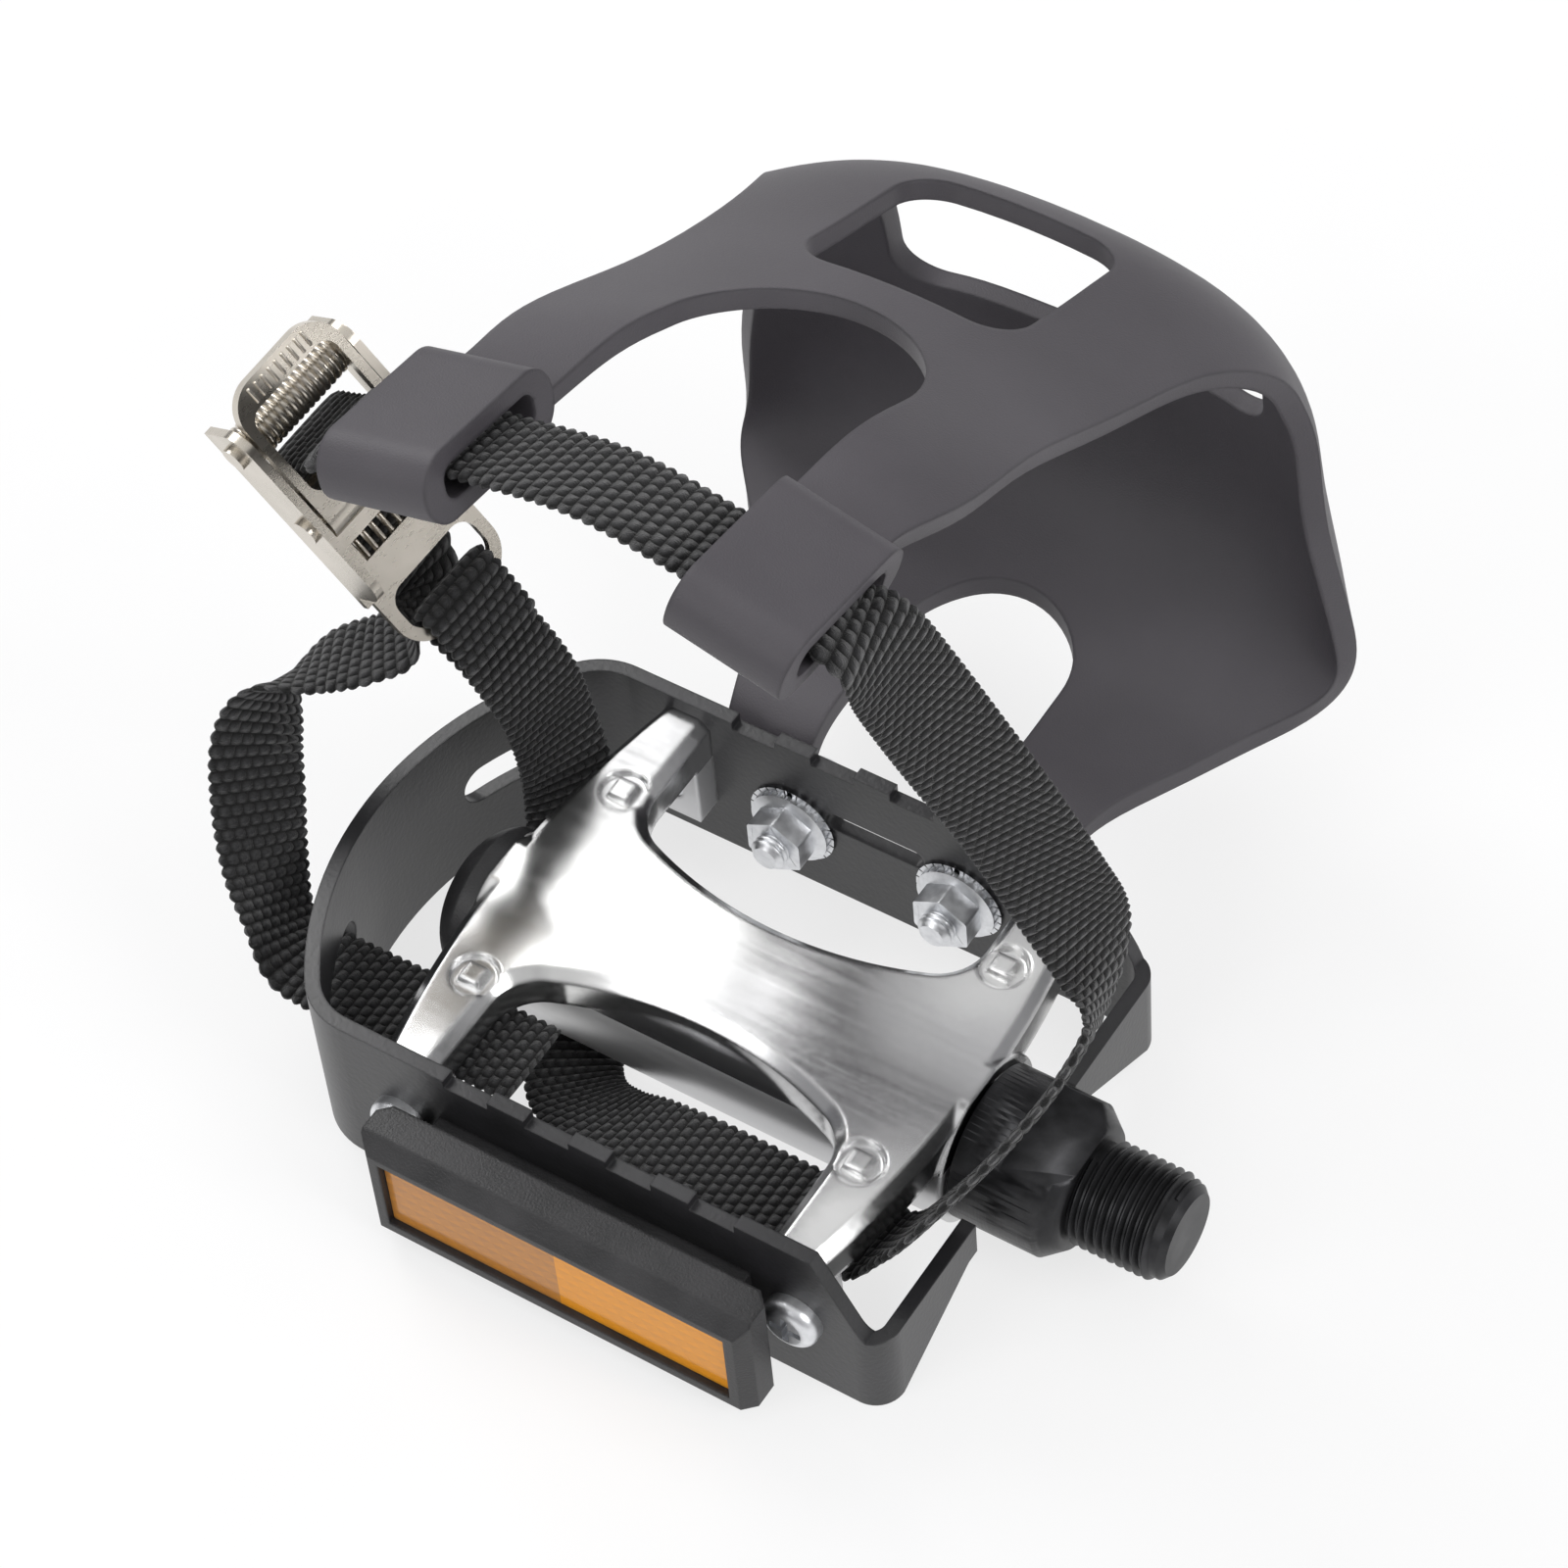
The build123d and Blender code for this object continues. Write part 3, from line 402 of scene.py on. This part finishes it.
def turn(name, profile, middle, axis, steps=40):
    """Turn (along, radius) points in millimetres about an axis through a middle."""
    axis = Vector(axis).normalized()
    side = axis.orthogonal().normalized()
    middle = Vector(middle) * mm
    piece = outline(name, [middle + axis * (along * mm) + side * (radius * mm) for along, radius in profile])
    only(piece)
    bpy.ops.object.mode_set(mode="EDIT")
    bpy.ops.mesh.select_all(action="SELECT")
    bpy.ops.mesh.spin(steps=steps, angle=2 * math.pi, center=middle, axis=axis)
    bpy.ops.mesh.select_all(action="SELECT")
    bpy.ops.mesh.remove_doubles(threshold=0.01 * mm)
    bpy.ops.mesh.normals_make_consistent(inside=False)
    bpy.ops.object.mode_set(mode="OBJECT")
    return piece


def ridges(start, end, pitch, low, high):
    """Profile points of a row of rounded ridges between two places."""
    count = max(1, round((end - start) / pitch))
    step = (end - start) / count
    shape = [(0.0, low), (0.25, high - (high - low) * 0.2), (0.5, high), (0.75, high - (high - low) * 0.2)]
    points = [(start + (index + share) * step, radius) for index in range(count) for share, radius in shape]
    return points + [(end, low)]


# %% [markdown]
# ## Places on the buckle
# The buckle hangs at a slant on the outboard side, so it has its own three directions: along it from the
# thumb bar to the tail bar, across it, and off its face. A small function turns a place on the buckle into
# a place in the scene.

# %% The buckle's own directions
along_buckle = Vector((0.57, 0.10, -0.8155)).normalized()
off_buckle = Vector((0.79, -0.24, 0.523)).normalized()
across_buckle = off_buckle.cross(along_buckle).normalized()
buckle_middle = Vector((-109.4, 10.9, 59.6))
buckle_half_length = 22.5


def on_buckle(t, side, height):
    """Place in millimetres for a distance along, across and off the buckle."""
    start = buckle_middle - along_buckle * buckle_half_length
    return start + along_buckle * t + across_buckle * side + off_buckle * height


print("buckle leans", round(math.degrees(math.asin(-along_buckle.z))), "degrees")

# %% [markdown]
# ## Woven strap
# The strap is nylon webbing with thick cross ribs, sewn round the buckle's tail bar. It runs down inside
# the cage, under the barrel, along the rear window, up over the spindle, through both loops of the clip,
# through the buckle, and its free end goes back into the cage. It is drawn as stations: the middle of the
# strap and the way its width lies. A smooth curve joins them, and the ribs swell and shrink the section as
# it goes, so that the edge is a row of knots.

# %% Stations of the strap
far_loop = 30.2
near_loop = 15.2
loop_lie = Vector((0, 0.988, -0.156))
flat = Vector((0, 1, 0))
fold = [(51.5, 0.4), (47.5, 0.7), (44.0, 1.1), (42.6, 1.15), (41.2, 0.3), (40.9, -0.6), (41.2, -1.5),
        (42.6, -2.35), (44.5, -2.3), (48.0, -1.7), (52.0, -1.5)]
stations = [(on_buckle(t, 0, h), across_buckle) for t, h in fold]
down_inside = [
    ((-90.6, 16.2, 25.0), (0.25, 0.94, 0.2)),
    ((-90.4, 18.4, 14.0), (0.3, 0.94, 0.1)),
    ((-89.8, 18.8, 4.0), (0.5, 0.86, 0.1)),
    ((-87.4, 16.0, -4.6), (0.7, 0.7, 0.05)),
    ((-82.0, 9.6, -10.9), (0.85, 0.52, 0.0)),
    ((-76.0, -1.0, -11.8), (0.87, 0.5, 0.0)),
    ((-69.6, -12.4, -10.6), (0.8, 0.6, 0.0)),
]
rear_window = [
    ((-61.5, -18.0, -5.6), (0.5, 0.86, 0.0)),
    ((-53.0, -19.8, -2.0), (0.15, 0.98, 0.0)),
    ((-44.0, -20.0, -1.0), flat),
    ((-32.0, -20.0, -1.0), flat),
    ((-20.5, -20.0, -0.8), flat),
    ((-15.5, -19.3, 2.6), (-0.1, 0.9, -0.42)),
]
over_spindle = [
    ((-10.5, -16.5, 10.0), (-0.2, 0.75, -0.63)),
    ((-6.0, -9.0, 16.4), (-0.28, 0.55, -0.79)),
    ((-4.0, 0.0, 20.0), (-0.3, 0.55, -0.78)),
    ((-3.8, 8.0, 24.0), (-0.2, 0.7, -0.68)),
    ((-5.5, 11.2, 32.0), (0.25, 0.9, -0.35)),
    ((-8.5, 7.6, 47.0), (0.6, 0.8, 0.1)),
    ((-11.5, 2.6, 63.6), (0.62, 0.76, 0.2)),
    ((-14.5, -2.6, 79.0), (0.5, 0.85, 0.2)),
    ((-16.6, -8.0, 94.0), (0.3, 0.94, 0.12)),
    ((-17.6, -12.0, 104.2), (0.1, 0.99, -0.08)),
]
loops = [
    ((body_middle + far_loop, -13.5, 108.275), loop_lie),
    ((-28.1, -13.5, 110.0), loop_lie),
    ((body_middle + near_loop, -13.5, 111.725), loop_lie),
    ((body_middle, -13.5, 114.14), loop_lie),
    ((body_middle - near_loop, -13.5, 111.725), loop_lie),
    ((-73.5, -13.5, 110.0), loop_lie),
    ((body_middle - far_loop, -13.5, 108.275), loop_lie),
    ((-86.4, -11.6, 104.0), (0.05, 0.99, -0.05)),
    ((-92.0, -7.2, 96.0), (0.12, 0.98, 0.1)),
    ((-98.4, -1.4, 86.6), (0.15, 0.96, 0.2)),
]
through_buckle = [(on_buckle(t, side, h), across_buckle) for t, side, h in
                  [(12.4, 0.4, 14.0), (13.2, 0, 8.0), (13.5, 0, 3.0), (13.8, 0, -2.4), (16.4, 0, -4.8),
                   (22.0, 0, -5.6), (30.0, 0, -6.0), (37.0, 0, -6.8)]]
free_end = [
    (on_buckle(41.5, 0, -9.0), (0.05, 0.97, 0.15)),
    ((-104.1, 11.4, 34.8), (-0.1, 0.97, 0.08)),
    ((-108.0, 7.4, 32.4), (-0.3, 0.92, -0.02)),
    ((-113.9, 3.6, 30.0), (-0.35, 0.9, -0.15)),
    ((-118.9, -0.8, 26.6), (0.1, 0.86, -0.45)),
    ((-119.5, -5.4, 21.6), (0.5, 0.74, -0.42)),
    ((-117.5, -9.6, 15.4), (0.55, 0.75, -0.3)),
    ((-114.1, -14.25, 8.8), (0.3, 0.9, -0.25)),
    ((-110.1, -17.85, 3.8), (-0.2, 0.95, -0.1)),
    ((-106.0, -19.8, 1.2), (-0.41, 0.91, 0.0)),
    ((-101.0, -20.1, 0.6), (-0.35, 0.93, 0.0)),
    ((-94.0, -20.1, 0.6), (-0.1, 0.99, 0.0)),
    ((-84.0, -20.0, 1.0), flat),
    ((-76.0, -20.0, 1.8), flat),
    ((-69.0, -20.0, 1.8), flat),
]
for leg in (down_inside, rear_window, over_spindle, loops, through_buckle, free_end):
    stations += [(Vector(point), Vector(lie)) for point, lie in leg]
print("strap stations:", len(stations))


# %% Walk along the strap
def between(a, b, c, d, s):
    """Smooth step from b to c, with a and d setting the slopes at both ends."""
    ends = b * (2 * s**3 - 3 * s**2 + 1) + c * (3 * s**2 - 2 * s**3)
    return ends + (c - a) * 0.5 * (s**3 - 2 * s**2 + s) + (d - b) * 0.5 * (s**3 - s**2)


def walk(route, cuts):
    """Points and widths of the strap at close steps."""
    last = len(route) - 1
    for index in range(last):
        four = [route[min(max(index + step, 0), last)] for step in (-1, 0, 1, 2)]
        for cut in range(cuts):
            yield tuple(between(*[item[part] for item in four], cut / cuts) for part in (0, 1))
    yield route[last]


def paced(route, step):
    """The same walk with steps of one length."""
    path = list(walk(route, 30))
    gone = 0.0
    due = 0.0
    for (a, wide_a), (b, wide_b) in zip(path, path[1:]):
        length = (b - a).length
        while length and due <= gone + length:
            share = (due - gone) / length
            yield a.lerp(b, share), wide_a.lerp(wide_b, share), due
            due += step
        gone += length


rib = 1.5
rings = list(paced(stations, rib / 4))
print("strap length", round(rings[-1][2]), "mm")

# %% Weave the strap
strap_width = 13.0
strap_thickness = 1.5
columns = 13
points = []
faces = []
marks = []
for index, (point, wide, gone) in enumerate(rings):
    ahead = rings[min(index + 1, len(rings) - 1)][0] - rings[max(index - 1, 0)][0]
    normal = ahead.cross(wide).normalized()
    wide = ahead.cross(normal).normalized() * -1
    swell = abs(math.sin(math.pi * gone / rib))
    half = strap_width / 2 - 0.45 * (1 - swell)
    for face in (1, -1):
        for column in range(columns):
            u = -1 + 2 * column / (columns - 1)
            crown = (1 - abs(u) ** 5) ** 0.5
            rise = strap_thickness / 2 * (0.62 + 0.38 * swell) * (0.30 + 0.70 * crown)
            points.append((point + wide * (half * u * face) + normal * (rise * face)) * mm)
            marks.append(((u * face + 1) / 2, gone))
around = 2 * columns
for index in range(len(rings) - 1):
    for step in range(around):
        a = index * around + step
        b = index * around + (step + 1) % around
        faces.append((a, b, b + around, a + around))
faces.append(tuple(range(around))[::-1])
faces.append(tuple(range((len(rings) - 1) * around, len(rings) * around)))
cloth = bpy.data.meshes.new("strap_webbing")
cloth.from_pydata(points, [], faces)
weave_map = cloth.uv_layers.new(name="weave")
for loop in cloth.loops:
    weave_map.data[loop.index].uv = marks[loop.vertex_index]
webbing_piece = bpy.data.objects.new("strap_webbing", cloth)
bpy.context.scene.collection.objects.link(webbing_piece)
only(webbing_piece)
bpy.ops.object.mode_set(mode="EDIT")
bpy.ops.mesh.select_all(action="SELECT")
bpy.ops.mesh.normals_make_consistent(inside=False)
bpy.ops.object.mode_set(mode="OBJECT")
print("strap has", len(faces), "faces")

# %% [markdown]
# The yarn itself is too fine for geometry. Each rib is crossed by eight warp yarns, and the yarns of one
# rib stand between those of the next. The strap's own map gives the place across it and along it, so the
# pattern bends with it.

# %% Webbing finish
webbing = Finish("woven_webbing", specular_ior_level=0.35, sheen_weight=0.25, sheen_roughness=0.5)
chart = webbing.node("ShaderNodeUVMap", {"uv_map": "weave"}, {})
wide_place = webbing.node("ShaderNodeSeparateXYZ", {}, {"Vector": chart}, "X")
long_place = webbing.node("ShaderNodeSeparateXYZ", {}, {"Vector": chart}, "Y")
row = long_place / rib
odd = (row * 0.5).wrap() > 0.5
yarn = ((wide_place * 8.0 + odd * 0.5) * math.pi).sin().size()
knot = (row * math.pi).sin().size()
fuzz = webbing.noise(5200.0, 2.0)
height = yarn * knot * 0.8 + fuzz * 0.25
# The colour follows the weave's height: the valleys between the yarns are painted near black, painted shade,
# and the yarn tops are lighter.
webbing.colours(height, (0.003, 0.003, 0.003), (0.034, 0.034, 0.036), 0.25, 0.95)
webbing.feed("Roughness", 0.80 - 0.22 * height)
webbing.bump(height, 0.8 * mm, 1.0)
keep(webbing, "strap")
settle(webbing_piece, "strap_webbing", "woven_webbing", "pedal", "webbing", "strap", angle=60)

# %% [markdown]
# ## Threaded spindle
# The crank end has a fine thread, twenty turns to the inch. The solid model has a plain cylinder there. A
# copy of the solid is cut off at the shoulder, a core of the thread's root size is turned, and one ridge is
# wound round it with the Screw modifier, as a tap would cut it.

# %% Cut the solid at the shoulder
spindle_piece = nodes["spindle"].copy()
spindle_piece.data = nodes["spindle"].data.copy()
spindle_piece.parent = None
for key in list(spindle_piece.keys()):
    del spindle_piece[key]
bpy.context.scene.collection.objects.link(spindle_piece)
only(spindle_piece)
bpy.ops.object.mode_set(mode="EDIT")
bpy.ops.mesh.select_all(action="SELECT")
bpy.ops.mesh.remove_doubles(threshold=0.002 * mm)
bpy.ops.mesh.select_all(action="SELECT")
bpy.ops.mesh.bisect(plane_co=(0.05 * mm, 0, 0), plane_no=(1, 0, 0), use_fill=True, clear_outer=True)
bpy.ops.object.mode_set(mode="OBJECT")
print("spindle without its thread:", len(spindle_piece.data.polygons), "faces")

# %% Wind the thread
thread_pitch = 1.27
root = 6.42
crest = 7.144
taper_start = 11.0
taper = 0.55
core_profile = [(-0.4, 0), (-0.4, root), (12.6, root), (13.5, root - 0.9), (13.5, 0)]
core = turn("thread_core", core_profile, (0, 0, 0), (1, 0, 0), 64)
tooth = [(0.0, root - 0.1), (0.5, crest), (0.62, crest), (1.12, root - 0.1)]
ridge = outline("thread_ridge", [Vector((x * mm, 0, radius * mm)) for x, radius in tooth])
modify(ridge, "SCREW", axis="X", screw_offset=thread_pitch * mm, iterations=9, steps=64, render_steps=64)
for point in ridge.data.vertices:
    reach = math.hypot(point.co.y, point.co.z)
    limit = (crest - max(0.0, point.co.x / mm - taper_start) * taper) * mm
    if reach > limit:
        point.co.y *= limit / reach
        point.co.z *= limit / reach
only(spindle_piece)
core.select_set(True)
ridge.select_set(True)
bpy.ops.object.join()
settle(spindle_piece, "spindle_threaded", "black_oxide", "axle", "dark_spindle", "spindle", angle=28)

# %% [markdown]
# ## Ribbed roller
# The strap turns over a roller with round grooves close together, like a coarse screw. Its profile is a row
# of ridges turned about the roller's pin, with a bore through it.

# %% Roller
roller_half = 8.5
roller_bore = 1.28
roller_face = ridges(-roller_half, roller_half, 1.0, 2.42, 2.8)
near_rim = (-roller_half, roller_bore)
far_rim = (roller_half, roller_bore)
roller_profile = [near_rim, *roller_face, far_rim, near_rim]
roller = turn("roller", roller_profile, on_buckle(7.4, 0, 3.1), across_buckle, 36)
settle(roller, "strap_roller_ribbed", "nickel_plate", "roller", "nickel", "strap_roller", angle=60)

# %% [markdown]
# ## Thumb ring
# The lever's bar has a row of ridges for the thumb, and the slot in the buckle's base has teeth that bite
# the strap. Both are rows of small bars with rounded backs. Each starts as a cube, is narrowed at the top
# and bevelled.

# %% One ridge
buckle_turn = Matrix((along_buckle, across_buckle, off_buckle)).transposed().to_4x4()


def ridge_bar(length, width, rise, t, side, height):
    """A small bar along the buckle, narrow at its back."""
    bpy.ops.object.select_all(action="DESELECT")
    bpy.ops.mesh.primitive_cube_add(size=1.0)
    bar = bpy.context.object
    bar.data.transform(Matrix.Diagonal((length * mm, width * mm, rise * mm, 1.0)))
    bpy.ops.object.mode_set(mode="EDIT")
    pick(bar, lambda face: face.normal.z > 0.9)
    bpy.ops.transform.resize(value=(0.8, 0.45, 1.0))
    bpy.ops.mesh.select_all(action="SELECT")
    bpy.ops.mesh.bevel(offset=0.12 * mm, segments=2)
    bpy.ops.object.mode_set(mode="OBJECT")
    bar.data.transform(Matrix.Translation(on_buckle(t, side, height) * mm) @ buckle_turn)
    return bar


def join(bars):
    """Make one object of several."""
    only(bars[0])
    for bar in bars:
        bar.select_set(True)
    bpy.ops.object.join()
    return bpy.context.object


# %% Thumb ridges and slot teeth
thumb_spacing = 1.2
thumb = join([ridge_bar(2.6, 0.7, 0.7, 1.75, thumb_spacing * (step - 4), 8.0) for step in range(9)])
settle(thumb, "thumb_ridges", "nickel_plate", "lever", "nickel", angle=40)
tooth_spacing = 1.5
teeth = join([ridge_bar(3.6, 0.8, 1.0, 29.0, tooth_spacing * (step - 3.5), -0.5) for step in range(8)])
settle(teeth, "slot_teeth", "nickel_plate", "pedal", "nickel", angle=40)

# %% [markdown]
# ## Flange nuts and bolt ends
# Each clip bolt ends inside the front plate in a flange nut. The flange has fine teeth round its edge, the
# hexagon's corners are rounded off, and the end of the bolt stands out of it with its thread showing.

# %% Nut
bolt_places = (-63.5, -38.1)
bolt_level = -1.8
plate_face = 31.7
head_face = 40.75


def flange_nut(x):
    """One nut on the inner face of the front plate."""
    bpy.ops.object.select_all(action="DESELECT")
    bpy.ops.mesh.primitive_cylinder_add(
        vertices=72, radius=5.8 * mm, depth=1.3 * mm, location=(0, 0, 0.65 * mm)
    )
    flange = bpy.context.object
    fix(flange)
    bpy.ops.object.mode_set(mode="EDIT")
    pick(flange, lambda face: abs(face.normal.z) < 0.1 and face.index % 3 == 0)
    bpy.ops.mesh.inset(thickness=0.03 * mm, use_individual=True)
    bpy.ops.mesh.extrude_region_shrink_fatten(TRANSFORM_OT_shrink_fatten={"value": -0.3 * mm})
    pick(flange, lambda face: face.normal.z > 0.9)
    bpy.ops.mesh.inset(thickness=0.9 * mm)
    bpy.ops.transform.translate(value=(0, 0, 0.4 * mm))
    bpy.ops.object.mode_set(mode="OBJECT")
    bpy.ops.mesh.primitive_cylinder_add(
        vertices=6, radius=4.62 * mm, depth=4.3 * mm, location=(0, 0, 2.85 * mm)
    )
    hexagon = bpy.context.object
    fix(hexagon)
    bpy.ops.object.mode_set(mode="EDIT")
    pick(hexagon, lambda edge: abs(edge.verts[0].co.z - edge.verts[1].co.z) > 0.001, "edges")
    bpy.ops.mesh.bevel(offset=0.3 * mm, segments=2)
    pick(hexagon, lambda face: face.normal.z > 0.9)
    bpy.ops.mesh.inset(thickness=0.6 * mm)
    bpy.ops.mesh.bevel(offset=0.2 * mm, segments=2)
    bpy.ops.object.mode_set(mode="OBJECT")
    only(flange)
    hexagon.select_set(True)
    bpy.ops.object.join()
    spot = Matrix.Translation((x * mm, plate_face * mm, bolt_level * mm))
    flange.data.transform(spot @ Matrix.Rotation(math.radians(90), 4, "X"))
    return flange


nut_pair = [flange_nut(x) for x in bolt_places]
settle(join(nut_pair), "flange_nuts", "zinc_plate", "pedal", "zinc_steel", "toe_clip_nuts", angle=30)

# %% Bolts with their thread
clip_bolts = []
head = [(0.0, 0.0), (0.0, 2.9), (0.25, 3.7), (0.8, 4.25), (1.6, 4.5), (3.0, 4.5), (3.0, 2.3)]
thread = ridges(3.0, 15.8, 0.8, 2.15, 2.5)
end = [(16.25, 1.8), (16.25, 0.0)]
for x in bolt_places:
    clip_bolts.append(turn("clip_bolt", [*head, *thread, *end], (x, head_face, bolt_level), (0, -1, 0), 36))
settle(join(clip_bolts), "clip_bolts", "zinc_plate", "pedal", "zinc_steel", "toe_clip_bolts", angle=40)

# %% [markdown]
# ## Prisms in the lens
# The lens is a thin clear plate with a moulded back. A grid is added at the plate's size, every face is
# poked into a little pyramid, and the rim is drawn forward to make the plate's edge. Light that goes in
# meets the slopes.

# %% Lens
lens_length = 50.6
lens_height = 12.4
lens_depth = 0.9
prism_depth = 1.0
lens_middle = Vector((body_middle, -42.7, -1.8)) * mm
bpy.ops.object.select_all(action="DESELECT")
bpy.ops.mesh.primitive_grid_add(x_subdivisions=22, y_subdivisions=6, size=1.0)
prisms = bpy.context.object
prisms.data.transform(Matrix.Diagonal((lens_length * mm, lens_height * mm, 1.0, 1.0)))
bpy.ops.object.mode_set(mode="EDIT")
bpy.ops.mesh.select_all(action="SELECT")
bpy.ops.mesh.poke(offset=-prism_depth * mm)
pick(prisms, lambda edge: edge.is_boundary, "edges")
bpy.ops.mesh.extrude_region_move(TRANSFORM_OT_translate={"value": (0, 0, lens_depth * mm)})
bpy.ops.mesh.edge_face_add()
bpy.ops.mesh.select_all(action="SELECT")
bpy.ops.mesh.normals_make_consistent(inside=False)
bpy.ops.object.mode_set(mode="OBJECT")
face_out = Matrix.Translation(lens_middle) @ Matrix.Rotation(math.radians(90), 4, "X")
prisms.data.transform(face_out @ Matrix.Translation((0, 0, -lens_depth * mm)))
settle(prisms, "prism_lens", "amber_acrylic", "pedal", "amber_lens", "reflector_lens", angle=10)

# %% [markdown]
# ## Lever spring
# A little wire spring under the buckle's base keeps the lever shut. It is a short coil with two straight
# legs. The wire is a curve with a round section, made a mesh at the end.

# %% Spring
wire = bpy.data.curves.new("spring_wire", "CURVE")
wire.dimensions = "3D"
wire.bevel_depth = 0.32 * mm
wire.bevel_resolution = 3
coil = wire.splines.new("POLY")
coil_turns = 4
turn_steps = 16
coil_radius = 1.3
coil_length = 3.4
spring_side = -8.2
spots = [on_buckle(24.5, spring_side, -2.0)]
for step in range(coil_turns * turn_steps + 1):
    angle = 2 * math.pi * step / turn_steps
    side = spring_side + coil_length * step / (coil_turns * turn_steps)
    spots.append(on_buckle(31.0 + coil_radius * math.cos(angle), side, -3.0 + coil_radius * math.sin(angle)))
spots.append(on_buckle(25.0, spring_side + coil_length, -2.0))
coil.points.add(len(spots) - 1)
for point, spot in zip(coil.points, spots):
    point.co = (*(spot * mm), 1.0)
spring = bpy.data.objects.new("lever_spring", wire)
bpy.context.scene.collection.objects.link(spring)
only(spring)
bpy.ops.object.convert(target="MESH")
settle(bpy.context.object, "lever_spring", "nickel_plate", "pedal", "nickel", angle=60)

# %% [markdown]
# ## Floor and light
# The pedal stands on a wide pale floor in a light tent. One broad lamp above the toe gives the casting its
# bright patches, a second on the crank side lifts the black pieces off each other, and a third behind lights
# the lens. The tent is a pale world that is brighter overhead, with soft folds, so that metal has
# something to mirror. To the camera and in mirrors the floor is mostly white paper, and it still keeps the
# pedal's shadow.

# %% Floor
bpy.ops.object.select_all(action="DESELECT")
floor_size = 40.0
floor_level = -13.0 * mm
bpy.ops.mesh.primitive_plane_add(size=floor_size, location=(0, 0, floor_level))
floor = bpy.context.object
fix(floor)
bpy.ops.object.mode_set(mode="EDIT")
pick(floor, lambda edge: min(point.co.y for point in edge.verts) > 1, "edges")
bpy.ops.mesh.extrude_region_move(TRANSFORM_OT_translate={"value": (0, 0.5, 2.5)})
bpy.ops.object.mode_set(mode="OBJECT")
floor.name = "studio_floor"
paper = Finish("studio_paper", roughness=0.9, specular_ior_level=0.1)
pulp = paper.noise(30.0, 2.0)
paper.colours(pulp, (0.87, 0.87, 0.875), (0.90, 0.90, 0.905))
rays = paper.node("ShaderNodeLightPath", {}, {}, "Is Camera Ray")
shine = paper.node("ShaderNodeLightPath", {}, {}, "Is Glossy Ray")
through = paper.node("ShaderNodeLightPath", {}, {}, "Is Transmission Ray")
white = paper.node("ShaderNodeEmission", {}, {"Color": (1.0, 1.0, 1.0, 1.0), "Strength": 1.0})
lit = Value(paper.tree, paper.shader.outputs[0])
white_share = 0.74
share = (rays + shine + through) * white_share
blend = paper.node("ShaderNodeMixShader", {}, {0: share, 1: lit, 2: white})
paper.tree.links.new(blend.socket, paper.tree.nodes["Material Output"].inputs["Surface"])
floor.data.materials.append(paper.material)
print("floor at", round(floor.data.vertices[0].co.z / mm, 1), "mm")


# %% Lamps
def lamp(name, place, target, size, power):
    """A square soft lamp that faces a target."""
    light = bpy.data.lights.new(name, "AREA")
    light.shape = "SQUARE"
    light.size = size
    light.energy = power
    holder = bpy.data.objects.new(name, light)
    holder.location = place
    holder.rotation_euler = (Vector(target) - Vector(place)).to_track_quat("-Z", "Y").to_euler()
    bpy.context.scene.collection.objects.link(holder)


heart = (-0.05, 0.02, 0.04)
lamp("toe_lamp", (-0.85, 0.385, 0.937), heart, 0.6, 7.0)
lamp("crank_lamp", (0.95, -0.05, 0.70), heart, 0.5, 5.5)
lamp("rear_lamp", (-0.45, -0.95, 0.75), heart, 0.6, 3.5)
world = bpy.data.worlds.new("light_tent")
bpy.context.scene.world = world
world.use_nodes = True
tent = world.node_tree.nodes
wires = world.node_tree.links
sky_place = tent.new("ShaderNodeTexCoord")
sky_split = tent.new("ShaderNodeSeparateXYZ")
sky_cloth = tent.new("ShaderNodeTexNoise")
sky_cloth.inputs["Scale"].default_value = 4.0
sky_ramp = tent.new("ShaderNodeValToRGB")
sky_ramp.color_ramp.elements[0].position = 0.25
sky_ramp.color_ramp.elements[0].color = (0.22, 0.22, 0.23, 1.0)
sky_ramp.color_ramp.elements[1].position = 0.95
sky_ramp.color_ramp.elements[1].color = (1.0, 1.0, 1.0, 1.0)
wires.new(sky_place.outputs["Generated"], sky_split.inputs["Vector"])
wires.new(sky_place.outputs["Generated"], sky_cloth.inputs["Vector"])
sky_height = Value(world.node_tree, sky_split.outputs["Z"])
folds = Value(world.node_tree, sky_cloth.outputs["Fac"])
wires.new((sky_height + (folds - 0.5) * 0.8).socket, sky_ramp.inputs["Fac"])
wires.new(sky_ramp.outputs["Color"], tent["Background"].inputs["Color"])
tent["Background"].inputs["Strength"].default_value = 0.85
bpy.context.scene.view_settings.view_transform = "Standard"
print("lamps:", len(bpy.data.lights))
